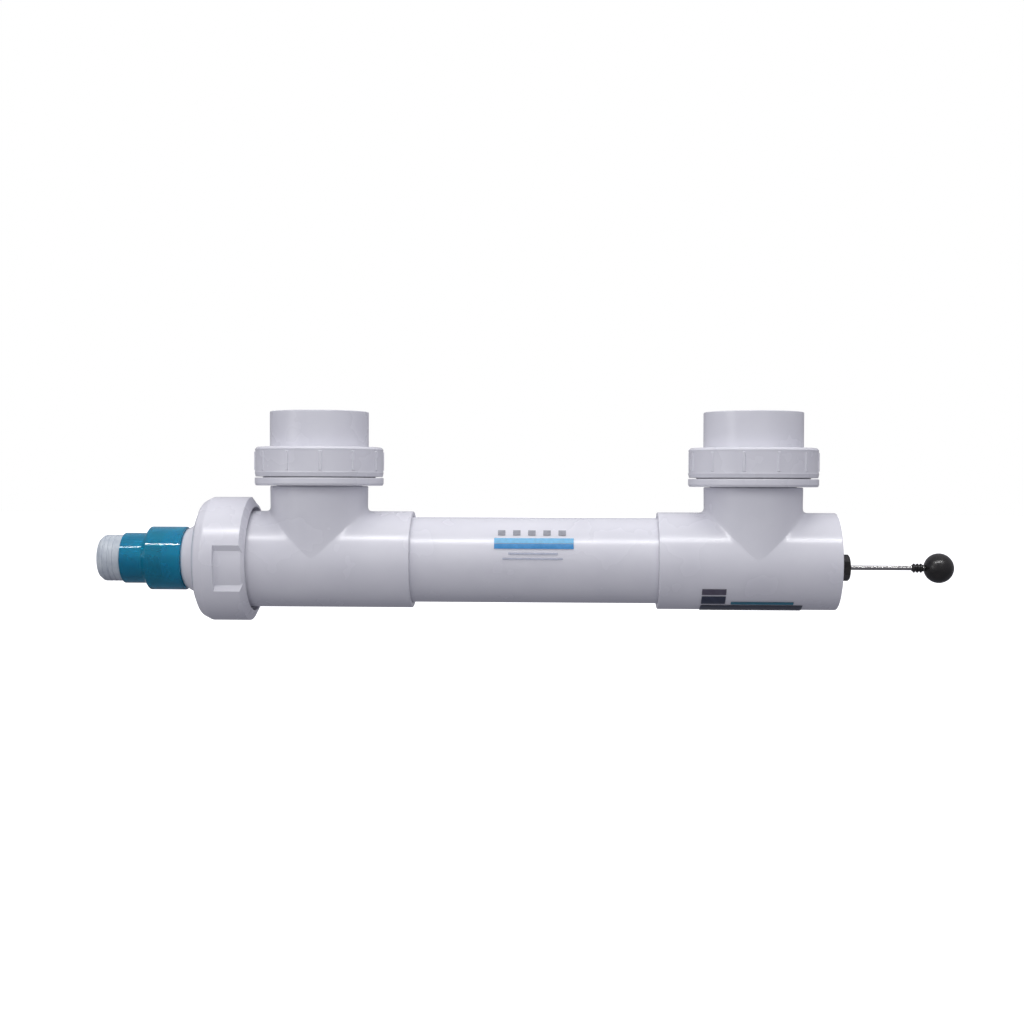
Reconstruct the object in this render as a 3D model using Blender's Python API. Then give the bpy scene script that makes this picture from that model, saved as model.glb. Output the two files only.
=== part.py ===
"""UV clarifier for a pond or aquarium: a lamp in a quartz sleeve inside a pipe housing.

The housing's axis is X, with the lamp cap towards -X and the wiper's pull knob towards +X.
The two port unions point up along Z. The origin is on the housing's axis, midway between
the ports. All sizes are in metres.
"""

import math

import bmesh
import bpy
from mathutils import Matrix

# Fits
GAP = 0.0003                    # clearance between pieces that touch or slide
ROUND_SIDES = 36                # sides of a large round; a multiple of 12 for the grips
SMALL_SIDES = 24
GLAND_SIDES = 16
TINY_SIDES = 12

# Pipework
PORT_SPACING = 0.3076           # between the two port axes
PIPE_OD = 0.06033
PIPE_WALL = 0.0039
SOCKET_WALL = 0.0037            # wall of a tee around its socket
STOP_RIDGE = 0.00475            # from the bore's wall to where a socket stops
INNER_SOCKET = 0.0365           # depth of the socket that takes the centre tube
OUTER_SOCKET = 0.0266           # depth of the socket at a free end of the run
BRANCH_SOCKET = 0.0210
BRANCH_DRAFT = 0.0006           # the branch grows this much in radius up to its mouth
BRANCH_INSET = 0.0001           # the branch's foot is this much slimmer than the run

# Port unions
UNION_FLANGE_HEIGHT = 0.0056
UNION_THREAD_HEIGHT = 0.0111
UNION_NUT_LIFT = 0.0007         # between the lower flange and the nut
TAIL_WALL = 0.0045              # wall of a tailpiece around its pipe socket
TAIL_FLANGE_STEP = 0.0058       # how far its flange stands out
TAIL_FLANGE_HEIGHT = 0.0057
TAIL_STOP_HEIGHT = 0.0037       # from its sealing face to the pipe stop
TAIL_RISE = 0.0252              # how far it stands out of its nut
UNION_NUT_WALL = 0.0042
UNION_LIP = 0.0042
UNION_RIB = 0.0008
UNION_RIB_COUNT = 12
INLET_NUT_TURN = math.radians(25.5)  # where each nut stopped when it was tightened
OUTLET_NUT_TURN = math.radians(30)
SEAL_RADIUS = 0.0017            # cord radius of the face seals

# Housing nut and lamp end
ADAPTER_STEP = 0.0025           # the adapter's thread stands this much above the tee
ADAPTER_LENGTH = 0.0129
END_FLANGE = 0.0057
BODY_NUT_WALL = 0.0042
BODY_NUT_LIP = 0.0064
BODY_NUT_SKIRT = 0.0120         # how far the nut reaches back over the tee
BODY_NUT_LUG = 0.0029
BODY_NUT_LUG_BORDER = 0.0026    # width of the slope round each lug
BODY_NUT_LUG_COUNT = 3
BODY_NUT_LUG_SHIFT = 9          # sides from the nut's seam to its first lug
BODY_NUT_TURN = math.radians(-3)     # where it stopped when it was tightened
BODY_NUT_CORNER = 0.0065
BODY_NUT_TAPER = 0.0030         # length of the skirt's taper
CONE_LENGTH = 0.0110
CONE_COLLAR = 0.0004            # straight collar between the nut and the cone

# Quartz sleeve and its nut
QUARTZ_OD = 0.0254
QUARTZ_WALL = 0.0015
QUARTZ_SEAL = 0.0046            # cord diameter of the quartz sleeve's seal
NIPPLE_LENGTH = 0.0150
NIPPLE_SHOULDER = 0.0019        # from the seal's outer edge to the thread's crest
QUARTZ_NUT_WALL = 0.0028
QUARTZ_NUT_CHAMFER = 0.0033
QUARTZ_NUT_NECK = 0.0160
QUARTZ_NUT_NECK_WALL = 0.0025
WASHER = 0.0030

# Lamp
LAMP_CAP_STEP = 0.0013          # how far the cap stands out over its neck
LAMP_CAP_LENGTH = 0.0170
LAMP_CAP_WALL = 0.0030
LAMP_NECK_LENGTH = 0.0176
LAMP_NECK_RADIUS = 0.0152
CABLE_HOLE = 0.0080
LAMP_OD = 0.0159
LAMP_WALL = 0.0010
LAMP_TIP_CLEARANCE = 0.0405     # from the lamp to the inside of the sleeve's dome
LAMP_BASE_WALL = 0.0013         # of each end cap around the glass
LAMP_BASE_LENGTH = 0.0150
PIN_OD = 0.0024
PIN_LENGTH = 0.0085
PIN_CIRCLE = 0.0100
PIN_COUNT = 4

# Wiper and its gland
ROD_OD = 0.003175
ROD_ANGLE = math.radians(189.14)  # about the housing's axis, from +Y towards +Z
ROD_STICKS_OUT = 0.0507         # from the packing nut to the knob's ferrule
FERRULE_LENGTH = 0.0079
FERRULE_OD = 0.0064
KNOB_OD = 0.0206
KNOB_BORE = 0.0060
CARRIAGE_LENGTH = 0.0060        # of the carriage and of the ring in it
CARRIAGE_PLAY = 0.0020          # between the carriage and the bore
CARRIAGE_STANDOFF = 0.0073      # from the end fitting's flange to the parked carriage
WIPER_RING_WALL = 0.0018
FLOW_HOLES = 7                  # round the carriage; the eighth place is the rod's
FLOW_HOLE_WEB = 0.0014          # of the carriage's rim on each side of a flow hole
LOCK_NUT_LENGTH = 0.0024
LOCK_NUT_OD = 0.0064
PLUG_WEB = 0.0080
BOSS_OD = 0.0150
BOSS_LENGTH = 0.0143
GLAND_THREAD_OD = 0.0094
GLAND_SHANK = 0.0083
PACKING_OD = 0.0074
PACKING_LENGTH = 0.0025
FOLLOWER_LENGTH = 0.0041
PACKING_NUT_FLATS = 0.0159
PACKING_NUT_HEIGHT = 0.0057
QUARTZ_END_CLEARANCE = 0.0131   # from the sleeve's dome to the plug

# Printed film
FILM = 0.0003
MARK_LENGTH = 0.0570
MARK_ARC = math.radians(68)
MARK_ANGLE = math.radians(166)   # angles as the rod's; the mark faces -Y
LABEL_LENGTH = 0.0765
LABEL_ARC = math.radians(50)
LABEL_ANGLE = math.radians(236)

# Derived sizes of the pipework
BORE = PIPE_OD / 2 - PIPE_WALL
SOCKET = PIPE_OD / 2 + GAP
HUB = SOCKET + SOCKET_WALL
STOP = BORE + STOP_RIDGE
PORT_X = PORT_SPACING / 2
RUN_INNER = STOP + INNER_SOCKET
RUN_OUTER = STOP + OUTER_SOCKET
BRANCH_TOP = STOP + BRANCH_SOCKET

# Derived sizes of the unions
TAIL = SOCKET + TAIL_WALL
TAIL_FLANGE = TAIL + TAIL_FLANGE_STEP
UNION_BORE = TAIL_FLANGE + 2 * GAP
UNION_NUT = UNION_BORE + UNION_NUT_WALL
UNION_THREAD = UNION_BORE - GAP
FLANGE_FOOT = BRANCH_TOP + GAP
FLANGE_TOP = FLANGE_FOOT + UNION_FLANGE_HEIGHT
UNION_FACE = FLANGE_TOP + UNION_THREAD_HEIGHT
TAIL_FOOT = UNION_FACE + GAP
TAIL_SHOULDER = TAIL_FOOT + TAIL_FLANGE_HEIGHT
NUT_FOOT = FLANGE_TOP + UNION_NUT_LIFT
NUT_SEAT = TAIL_SHOULDER + GAP
NUT_TOP = NUT_SEAT + UNION_LIP
PORT_RIM = NUT_TOP + TAIL_RISE

# Derived stations along X at the lamp end
TEE_END = -PORT_X - RUN_OUTER
ADAPTER_FACE = TEE_END - GAP - ADAPTER_LENGTH
ADAPTER_THREAD = HUB + ADAPTER_STEP
BODY_BORE = ADAPTER_THREAD + GAP
BODY_NUT = BODY_BORE + BODY_NUT_WALL
END_FACE = ADAPTER_FACE - GAP
END_SHOULDER = END_FACE - END_FLANGE
BODY_NUT_SEAT = END_SHOULDER - GAP
BODY_NUT_FACE = BODY_NUT_SEAT - BODY_NUT_LIP
CONE_BASE = BORE + 2 * GAP
CONE_START = BODY_NUT_FACE - CONE_COLLAR
QUARTZ = QUARTZ_OD / 2
NIPPLE_BORE = QUARTZ + 2 * GAP
NIPPLE_THREAD = QUARTZ + GAP + QUARTZ_SEAL + NIPPLE_SHOULDER
CONE_END = CONE_START - CONE_LENGTH
NIPPLE_TIP = CONE_END - NIPPLE_LENGTH
SEAL_END = NIPPLE_TIP - GAP - QUARTZ_SEAL
WASHER_FACE = SEAL_END - GAP
WASHER_BACK = WASHER_FACE - WASHER
QUARTZ_NUT_SEAT = WASHER_BACK - GAP
QUARTZ_NUT_BORE = NIPPLE_THREAD + GAP
QUARTZ_NUT = QUARTZ_NUT_BORE + QUARTZ_NUT_WALL
QUARTZ_NUT_FOOT = CONE_END - GAP
QUARTZ_NUT_STEP = QUARTZ_NUT_SEAT - 2 * GAP - WASHER / 2
NECK_START = QUARTZ_NUT_STEP - QUARTZ_NUT_CHAMFER
NECK_END = NECK_START - QUARTZ_NUT_NECK
NECK_BORE = LAMP_NECK_RADIUS + GAP
NECK = NECK_BORE + QUARTZ_NUT_NECK_WALL
CAP_SEAT = NECK_END - GAP
CAP_END = CAP_SEAT - LAMP_CAP_LENGTH
NECK_TIP = CAP_SEAT + LAMP_NECK_LENGTH
LAMP_START = NECK_TIP + GAP
LAMP_BASE = LAMP_OD / 2 + LAMP_BASE_WALL

# Derived stations along X at the wiper end
RUN_END = PORT_X + RUN_OUTER
PLUG_START = PORT_X + STOP + GAP
QUARTZ_TIP = PLUG_START - QUARTZ_END_CLEARANCE
LAMP_END = QUARTZ_TIP - QUARTZ_WALL - LAMP_TIP_CLEARANCE
WEB_INNER = RUN_END - PLUG_WEB
BOSS_END = WEB_INNER - BOSS_LENGTH
ROD = ROD_OD / 2
ROD_HOLE = ROD + GAP
NUT_HEX_FACE = RUN_END + GAP
PACKING_NUT_END = NUT_HEX_FACE + PACKING_NUT_HEIGHT
SHANK_END = NUT_HEX_FACE - GLAND_SHANK
FOLLOWER_START = SHANK_END - GAP - FOLLOWER_LENGTH
PACKING_START = FOLLOWER_START - 2 * (PACKING_LENGTH + GAP)
FERRULE_START = PACKING_NUT_END + ROD_STICKS_OUT - FERRULE_LENGTH
FERRULE_END = FERRULE_START + FERRULE_LENGTH
KNOB_CENTER = FERRULE_END + GAP + KNOB_OD / 2
CARRIAGE_INNER = QUARTZ + GAP + WIPER_RING_WALL + GAP
CARRIAGE_OUTER = BORE - CARRIAGE_PLAY
CARRIAGE_START = END_FACE + CARRIAGE_STANDOFF
CARRIAGE_END = CARRIAGE_START + CARRIAGE_LENGTH
ROD_START = CARRIAGE_START - LOCK_NUT_LENGTH - 5 * GAP
ROD_END = KNOB_CENTER - KNOB_OD / 2 + KNOB_BORE - GAP
ROD_OFFSET = (CARRIAGE_INNER + CARRIAGE_OUTER) / 2
ROD_PLACE = (0, ROD_OFFSET * math.cos(ROD_ANGLE), ROD_OFFSET * math.sin(ROD_ANGLE))

ALONG_X = Matrix.Rotation(math.radians(90), 4, "Y")
ALONG_Z = Matrix.Identity(4)


def clear_scene():
    for item in list(bpy.data.objects):
        bpy.data.objects.remove(item, do_unlink=True)


def make_material(name, color, roughness, metallic=0.0, transmission=0.0):
    material = bpy.data.materials.new(name)
    material.use_nodes = True
    shader = material.node_tree.nodes["Principled BSDF"]
    shader.inputs["Base Color"].default_value = (*color, 1)
    shader.inputs["Roughness"].default_value = roughness
    shader.inputs["Metallic"].default_value = metallic
    shader.inputs["Transmission Weight"].default_value = transmission
    return material


def add_object(name, bm, material, place=(0, 0, 0)):
    """Turn a bmesh into a smooth-shaded object with one material."""
    bmesh.ops.remove_doubles(bm, verts=bm.verts, dist=1e-6)
    bmesh.ops.recalc_face_normals(bm, faces=bm.faces)
    mesh = bpy.data.meshes.new(name)
    bm.to_mesh(mesh)
    bm.free()
    mesh.shade_smooth()
    mesh.set_sharp_from_angle(angle=math.radians(35))
    mesh.materials.append(material)
    thing = bpy.data.objects.new(name, mesh)
    thing.location = place
    bpy.context.collection.objects.link(thing)
    return thing


def spin_outline(outline, turn, closed=True, sides=ROUND_SIDES):
    """Spin (station, radius) points about Z, then turn the result onto its own axis."""
    bm = bmesh.new()
    verts = [bm.verts.new((radius, 0, station)) for station, radius in outline]
    edges = [bm.edges.new(pair) for pair in zip(verts, verts[1:])]
    if closed:
        edges.append(bm.edges.new((verts[-1], verts[0])))
    bmesh.ops.spin(bm, geom=verts + edges, axis=(0, 0, 1), cent=(0, 0, 0),
                   angle=math.tau, steps=sides, use_merge=True)
    bmesh.ops.remove_doubles(bm, verts=bm.verts, dist=1e-6)
    bmesh.ops.recalc_face_normals(bm, faces=bm.faces)
    bmesh.ops.transform(bm, matrix=turn, verts=bm.verts)
    return bm


def turned_x(name, outline, material, closed=True, sides=ROUND_SIDES, place=(0, 0, 0)):
    return add_object(name, spin_outline(outline, ALONG_X, closed, sides), material, place)


def turned_z(name, outline, material, closed=True, sides=ROUND_SIDES, place=(0, 0, 0)):
    return add_object(name, spin_outline(outline, ALONG_Z, closed, sides), material, place)


def arc_points(center, radius, start, end, steps):
    """Points of an arc in the (station, radius) plane, angles in degrees from +station."""
    points = []
    for step in range(steps + 1):
        angle = math.radians(start + (end - start) * step / steps)
        points.append((center[0] + radius * math.cos(angle),
                       center[1] + radius * math.sin(angle)))
    return points


def torus_outline(station, radius, cord, sides=8):
    return arc_points((station, radius), cord, 0, 360 - 360 / sides, sides - 1)


def tube_outline(start, end, inner, outer, chamfer=0.0):
    """A plain sleeve, with its outer corners chamfered when a chamfer is given."""
    if not chamfer:
        return [(start, inner), (start, outer), (end, outer), (end, inner)]
    return [(start, inner), (start, outer - chamfer), (start + chamfer, outer),
            (end - chamfer, outer), (end, outer - chamfer), (end, inner)]


def add_cutter(name, bm, place=(0, 0, 0)):
    cutter = add_object(name, bm, materials["pvc_white"], place)
    cutter.hide_render = True
    cutter.display_type = "WIRE"
    return cutter


def combine(thing, tool, operation):
    modifier = thing.modifiers.new(tool.name, "BOOLEAN")
    modifier.operation = operation
    modifier.solver = "EXACT"
    modifier.object = tool


def drill_x(thing, name, start, end, radius, place, sides=TINY_SIDES):
    outline = [(start, 0), (start, radius), (end, radius), (end, 0)]
    combine(thing, add_cutter(name, spin_outline(outline, ALONG_X, False, sides), place),
            "DIFFERENCE")


def outer_faces(thing, axis, low, high, radius):
    """Faces of a turned piece that lie on its outer wall between two stations, by angle."""
    bm = bmesh.new()
    bm.from_mesh(thing.data)
    side = [i for i in range(3) if i != axis]
    found = []
    for face in bm.faces:
        middle = face.calc_center_median()
        away = math.hypot(middle[side[0]], middle[side[1]])
        if low < middle[axis] < high and away > radius and abs(face.normal[axis]) < 0.1:
            angle = math.atan2(middle[side[1]], middle[side[0]]) % math.tau
            found.append((angle, face))
    found.sort(key=lambda pair: pair[0])
    return bm, [face for angle, face in found]


def raise_faces(thing, bm, groups, border, height):
    """Raise each group of faces by a height, leaving a sloping border around it."""
    for group in groups:
        bmesh.ops.inset_region(bm, faces=group, thickness=border, depth=height,
                               use_even_offset=True)
    bm.to_mesh(thing.data)
    bm.free()
    thing.data.shade_smooth()
    thing.data.set_sharp_from_angle(angle=math.radians(35))


materials = {}


def make_materials():
    materials["pvc_white"] = make_material("pvc_white", (0.83, 0.84, 0.88), 0.32)
    materials["teal_clear"] = make_material("teal_clear", (0.02, 0.42, 0.55), 0.12, 0, 0.7)
    materials["quartz"] = make_material("quartz", (0.93, 0.96, 0.97), 0.04, 0, 0.95)
    materials["lamp_glass"] = make_material("lamp_glass", (0.85, 0.90, 0.93), 0.06, 0, 0.85)
    materials["ceramic"] = make_material("ceramic", (0.90, 0.88, 0.82), 0.45)
    materials["brass"] = make_material("brass", (0.72, 0.55, 0.24), 0.28, 1.0)
    materials["rubber"] = make_material("rubber", (0.02, 0.02, 0.022), 0.62)
    materials["black_plastic"] = make_material("black_plastic", (0.012, 0.012, 0.014), 0.22)
    materials["steel"] = make_material("steel", (0.62, 0.62, 0.64), 0.22, 1.0)
    materials["film"] = make_material("film", (0.10, 0.42, 0.68), 0.35)


def make_center_tube():
    reach = PORT_X - STOP - GAP
    turned_x("center_tube", tube_outline(-reach, reach, BORE, PIPE_OD / 2, 0.001),
             materials["pvc_white"])


def make_tee(name, side):
    """A tee whose short end points to the side given as -1 or +1."""
    inner = -side * RUN_INNER
    outer = side * RUN_OUTER
    low, high = min(inner, outer), max(inner, outer)
    port = (side * PORT_X, 0, 0)
    run = [(low, 0), (low, HUB - 0.001), (low + 0.001, HUB), (high - 0.001, HUB),
           (high, HUB - 0.001), (high, 0)]
    tee = turned_x(name, run, materials["pvc_white"], False, place=port)
    foot = HUB - BRANCH_INSET
    mouth = foot + BRANCH_DRAFT
    branch = [(0, 0), (0, foot), (BRANCH_TOP - 0.001, mouth), (BRANCH_TOP, mouth - 0.001),
              (BRANCH_TOP, 0)]
    combine(tee, add_cutter(name + "_branch", spin_outline(branch, ALONG_Z, False), port),
            "UNION")
    past = GAP
    bore = [(low - past, 0), (low - past, SOCKET), (-STOP, SOCKET), (-STOP, BORE),
            (STOP, BORE), (STOP, SOCKET), (high + past, SOCKET), (high + past, 0)]
    combine(tee, add_cutter(name + "_run_bore", spin_outline(bore, ALONG_X, False), port),
            "DIFFERENCE")
    rise = [(-BORE / 8, 0), (-BORE / 8, BORE - GAP), (STOP, BORE - GAP), (STOP, SOCKET),
            (BRANCH_TOP + past, SOCKET), (BRANCH_TOP + past, 0)]
    combine(tee, add_cutter(name + "_branch_bore", spin_outline(rise, ALONG_Z, False), port),
            "DIFFERENCE")


def make_union_body(name, x):
    groove_middle = (BORE + UNION_THREAD) / 2
    groove_half = SEAL_RADIUS + GAP
    groove_floor = UNION_FACE - 2 * groove_half
    outline = [(STOP + GAP, BORE), (STOP + GAP, PIPE_OD / 2 - 0.0007),
               (STOP + GAP + 0.0007, PIPE_OD / 2), (FLANGE_FOOT, PIPE_OD / 2),
               (FLANGE_FOOT, UNION_NUT - 0.002), (FLANGE_FOOT + 0.0018, UNION_NUT),
               (FLANGE_TOP, UNION_NUT), (FLANGE_TOP, UNION_THREAD),
               (UNION_FACE - 0.0008, UNION_THREAD), (UNION_FACE, UNION_THREAD - 0.0008),
               (UNION_FACE, groove_middle + groove_half), (groove_floor, groove_middle + groove_half),
               (groove_floor, groove_middle - groove_half), (UNION_FACE, groove_middle - groove_half),
               (UNION_FACE, BORE)]
    turned_z(name, outline, materials["pvc_white"], place=(x, 0, 0))


def make_face_seal(name, x):
    seal = torus_outline(UNION_FACE - SEAL_RADIUS - GAP, (BORE + UNION_THREAD) / 2, SEAL_RADIUS, 5)
    turned_z(name, seal, materials["rubber"], place=(x, 0, 0))


def make_tailpiece(name, x):
    outline = [(TAIL_FOOT, BORE), (TAIL_FOOT, TAIL_FLANGE), (TAIL_SHOULDER, TAIL_FLANGE),
               (TAIL_SHOULDER, TAIL), (PORT_RIM - 0.001, TAIL), (PORT_RIM, TAIL - 0.001),
               (PORT_RIM, SOCKET), (TAIL_FOOT + TAIL_STOP_HEIGHT, SOCKET),
               (TAIL_FOOT + TAIL_STOP_HEIGHT, BORE)]
    turned_z(name, outline, materials["pvc_white"], place=(x, 0, 0))


def make_union_nut(name, x, turn):
    lip_hole = TAIL + GAP
    outline = [(NUT_FOOT, UNION_BORE), (NUT_FOOT, UNION_NUT - 0.0012),
               (NUT_FOOT + 0.0016, UNION_NUT), (NUT_TOP - 0.0022, UNION_NUT),
               (NUT_TOP, UNION_NUT - 0.0022), (NUT_TOP, lip_hole), (NUT_SEAT, lip_hole),
               (NUT_SEAT, UNION_BORE)]
    nut = turned_z(name, outline, materials["pvc_white"], place=(x, 0, 0))
    bm, ring = outer_faces(nut, 2, NUT_FOOT + 0.002, NUT_TOP - 0.003, UNION_NUT - 0.001)
    step = len(ring) // UNION_RIB_COUNT
    ribs = [[ring[i * step + 1]] for i in range(UNION_RIB_COUNT)]
    raise_faces(nut, bm, ribs, 0.0016, UNION_RIB)
    nut.rotation_euler.z = turn


def make_adapter():
    """The spigot adapter that carries the housing nut's thread."""
    groove_middle = (BORE + ADAPTER_THREAD) / 2
    groove_half = SEAL_RADIUS + GAP
    groove_floor = ADAPTER_FACE + 2 * groove_half
    spigot_end = -PORT_X - STOP - GAP
    collar = TEE_END - GAP
    outline = [(ADAPTER_FACE, BORE), (ADAPTER_FACE, groove_middle - groove_half),
               (groove_floor, groove_middle - groove_half), (groove_floor, groove_middle + groove_half),
               (ADAPTER_FACE, groove_middle + groove_half), (ADAPTER_FACE, ADAPTER_THREAD - 0.0008),
               (ADAPTER_FACE + 0.0008, ADAPTER_THREAD), (collar, ADAPTER_THREAD), (collar, PIPE_OD / 2),
               (spigot_end - 0.0007, PIPE_OD / 2), (spigot_end, PIPE_OD / 2 - 0.0007),
               (spigot_end, BORE)]
    turned_x("lamp_end_adapter", outline, materials["pvc_white"])
    seal = torus_outline(ADAPTER_FACE + SEAL_RADIUS + GAP, groove_middle, SEAL_RADIUS, 5)
    turned_x("housing_seal", seal, materials["rubber"])


def make_housing_nut():
    corner = arc_points((BODY_NUT_FACE + BODY_NUT_CORNER, BODY_NUT - BODY_NUT_CORNER),
                        BODY_NUT_CORNER, 180, 90, 3)
    skirt_end = TEE_END + BODY_NUT_SKIRT
    outline = [(BODY_NUT_FACE, CONE_BASE + GAP)] + corner
    outline += [(skirt_end - BODY_NUT_TAPER, BODY_NUT), (skirt_end, BODY_BORE + 0.0012),
                (skirt_end, BODY_BORE), (BODY_NUT_SEAT, BODY_BORE), (BODY_NUT_SEAT, CONE_BASE + GAP)]
    nut = turned_x("housing_nut", outline, materials["pvc_white"])
    bm, ring = outer_faces(nut, 0, BODY_NUT_FACE + BODY_NUT_CORNER,
                           skirt_end - BODY_NUT_TAPER, BODY_NUT - 0.001)
    pitch = len(ring) // BODY_NUT_LUG_COUNT
    lug = pitch * 2 // 3
    groups = [[ring[(i * pitch + k + BODY_NUT_LUG_SHIFT) % len(ring)] for k in range(lug)]
              for i in range(BODY_NUT_LUG_COUNT)]
    raise_faces(nut, bm, groups, BODY_NUT_LUG_BORDER, BODY_NUT_LUG)
    nut.rotation_euler.x = BODY_NUT_TURN


def make_end_fitting():
    """The white fitting whose flange the housing nut holds, with the cone and the nipple."""
    outline = [(END_FACE, BORE), (END_FACE, BODY_BORE - 2 * GAP),
               (END_SHOULDER, BODY_BORE - 2 * GAP), (END_SHOULDER, CONE_BASE),
               (CONE_START, CONE_BASE), (CONE_END, NIPPLE_THREAD + 0.0008),
               (CONE_END, NIPPLE_THREAD), (NIPPLE_TIP + 0.0006, NIPPLE_THREAD),
               (NIPPLE_TIP, NIPPLE_THREAD - 0.0006), (NIPPLE_TIP, NIPPLE_BORE),
               (CONE_END, NIPPLE_BORE), (END_SHOULDER, BORE - 0.0045)]
    turned_x("end_fitting", outline, materials["pvc_white"])


def make_quartz_sleeve():
    start = WASHER_BACK + GAP
    inner = QUARTZ - QUARTZ_WALL
    dome = arc_points((QUARTZ_TIP - QUARTZ, 0), QUARTZ, 90, 0, 4)
    hollow = arc_points((QUARTZ_TIP - QUARTZ, 0), inner, 0, 90, 4)
    outline = [(QUARTZ_TIP - QUARTZ_WALL, 0)] + hollow[1:] + [(start, inner), (start, QUARTZ)]
    outline += dome[:-1] + [(QUARTZ_TIP, 0)]
    turned_x("quartz_sleeve", outline, materials["quartz"], False, SMALL_SIDES)
    seal_radius = QUARTZ_SEAL / 2
    seal = torus_outline(SEAL_END + seal_radius, QUARTZ + GAP + seal_radius, seal_radius, 6)
    turned_x("quartz_seal", seal, materials["rubber"], sides=SMALL_SIDES)


def make_quartz_nut():
    turned_x("thrust_washer", tube_outline(WASHER_BACK, WASHER_FACE, QUARTZ + GAP,
             QUARTZ_NUT_BORE - 2 * GAP), materials["black_plastic"], sides=SMALL_SIDES)
    outline = [(QUARTZ_NUT_FOOT, QUARTZ_NUT_BORE), (QUARTZ_NUT_FOOT, QUARTZ_NUT - 0.0006),
               (QUARTZ_NUT_FOOT - 0.0006, QUARTZ_NUT), (QUARTZ_NUT_STEP, QUARTZ_NUT),
               (NECK_START, NECK), (NECK_END + 0.0006, NECK), (NECK_END, NECK - 0.0006),
               (NECK_END, NECK_BORE), (QUARTZ_NUT_SEAT, NECK_BORE), (QUARTZ_NUT_SEAT, QUARTZ_NUT_BORE)]
    turned_x("quartz_nut", outline, materials["teal_clear"])


def make_lamp():
    cap = LAMP_NECK_RADIUS + LAMP_CAP_STEP
    rim = arc_points((CAP_END + 0.003, cap - 0.003), 0.003, 180, 90, 2)
    cavity = CAP_SEAT - LAMP_CAP_WALL
    cable = CABLE_HOLE / 2
    outline = [(CAP_END, cable)] + rim + [(CAP_SEAT, cap), (CAP_SEAT, LAMP_NECK_RADIUS),
               (NECK_TIP, LAMP_NECK_RADIUS), (NECK_TIP, 0), (cavity, 0),
               (cavity, cap - LAMP_CAP_WALL), (CAP_END + LAMP_CAP_WALL, cap - LAMP_CAP_WALL),
               (CAP_END + LAMP_CAP_WALL, cable)]
    # The loop crosses the axis once along the neck's core, so that edge isn't spun.
    core = outline.index((NECK_TIP, 0))
    outline = outline[core + 1:] + outline[:core + 1]
    lamp_cap = turned_x("lamp_cap", outline, materials["pvc_white"], False, SMALL_SIDES)
    glass = LAMP_OD / 2
    base_end = LAMP_START + LAMP_BASE_LENGTH
    recess = base_end - LAMP_BASE_LENGTH / 2
    far_recess = LAMP_END - LAMP_BASE_LENGTH / 2
    far_start = LAMP_END - LAMP_BASE_LENGTH
    near = [(LAMP_START, 0), (LAMP_START, LAMP_BASE - 0.001), (LAMP_START + 0.001, LAMP_BASE),
            (base_end, LAMP_BASE), (base_end, glass + GAP), (recess, glass + GAP), (recess, 0)]
    turned_x("lamp_base", near, materials["ceramic"], False, SMALL_SIDES)
    far = [(LAMP_END, 0), (LAMP_END, LAMP_BASE - 0.002), (LAMP_END - 0.002, LAMP_BASE),
           (far_start, LAMP_BASE), (far_start, glass + GAP), (far_recess, glass + GAP),
           (far_recess, 0)]
    turned_x("lamp_far_cap", far, materials["ceramic"], False, SMALL_SIDES)
    turned_x("lamp_tube", tube_outline(recess + GAP, far_recess - GAP, glass - LAMP_WALL, glass),
             materials["lamp_glass"], sides=SMALL_SIDES)
    for i in range(PIN_COUNT):
        angle = math.tau * (i + 0.5) / PIN_COUNT
        place = (0, PIN_CIRCLE / 2 * math.cos(angle), PIN_CIRCLE / 2 * math.sin(angle))
        pin = PIN_OD / 2
        pin_start = NECK_TIP - PIN_LENGTH
        shape = [(NECK_TIP, 0), (NECK_TIP, pin), (pin_start + 0.0006, pin),
                 (pin_start, pin - 0.0006), (pin_start, 0)]
        turned_x(f"lamp_pin_{i + 1}", shape, materials["brass"], False, TINY_SIDES, place)
        drill_x(lamp_cap, f"pin_hole_{i + 1}", pin_start - GAP, NECK_TIP + GAP, pin + GAP,
                place)


def make_end_plug():
    outline = [(PLUG_START, BORE), (PLUG_START, PIPE_OD / 2 - 0.0007),
               (PLUG_START + 0.0007, PIPE_OD / 2), (RUN_END, PIPE_OD / 2), (RUN_END, 0),
               (WEB_INNER, 0), (WEB_INNER, BORE)]
    # Spun from the web's inner face round to its outer face, both of which end on the axis.
    outline = outline[5:] + outline[:5]
    plug = turned_x("end_plug", outline, materials["pvc_white"], False)
    boss = [(BOSS_END, 0), (BOSS_END, BOSS_OD / 2), (WEB_INNER + PLUG_WEB / 2, BOSS_OD / 2),
            (WEB_INNER + PLUG_WEB / 2, 0)]
    combine(plug, add_cutter("gland_boss", spin_outline(boss, ALONG_X, False, GLAND_SIDES),
            ROD_PLACE), "UNION")
    packing = PACKING_OD / 2
    chamber = PACKING_START - GAP
    past = RUN_END + GAP
    gland = [(BOSS_END - GAP, 0), (BOSS_END - GAP, ROD_HOLE), (chamber, ROD_HOLE),
             (chamber, packing + GAP), (SHANK_END - GAP, packing + GAP),
             (SHANK_END - GAP, GLAND_THREAD_OD / 2 + GAP), (past, GLAND_THREAD_OD / 2 + GAP),
             (past, 0)]
    combine(plug, add_cutter("gland_bore", spin_outline(gland, ALONG_X, False, GLAND_SIDES),
            ROD_PLACE), "DIFFERENCE")


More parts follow.
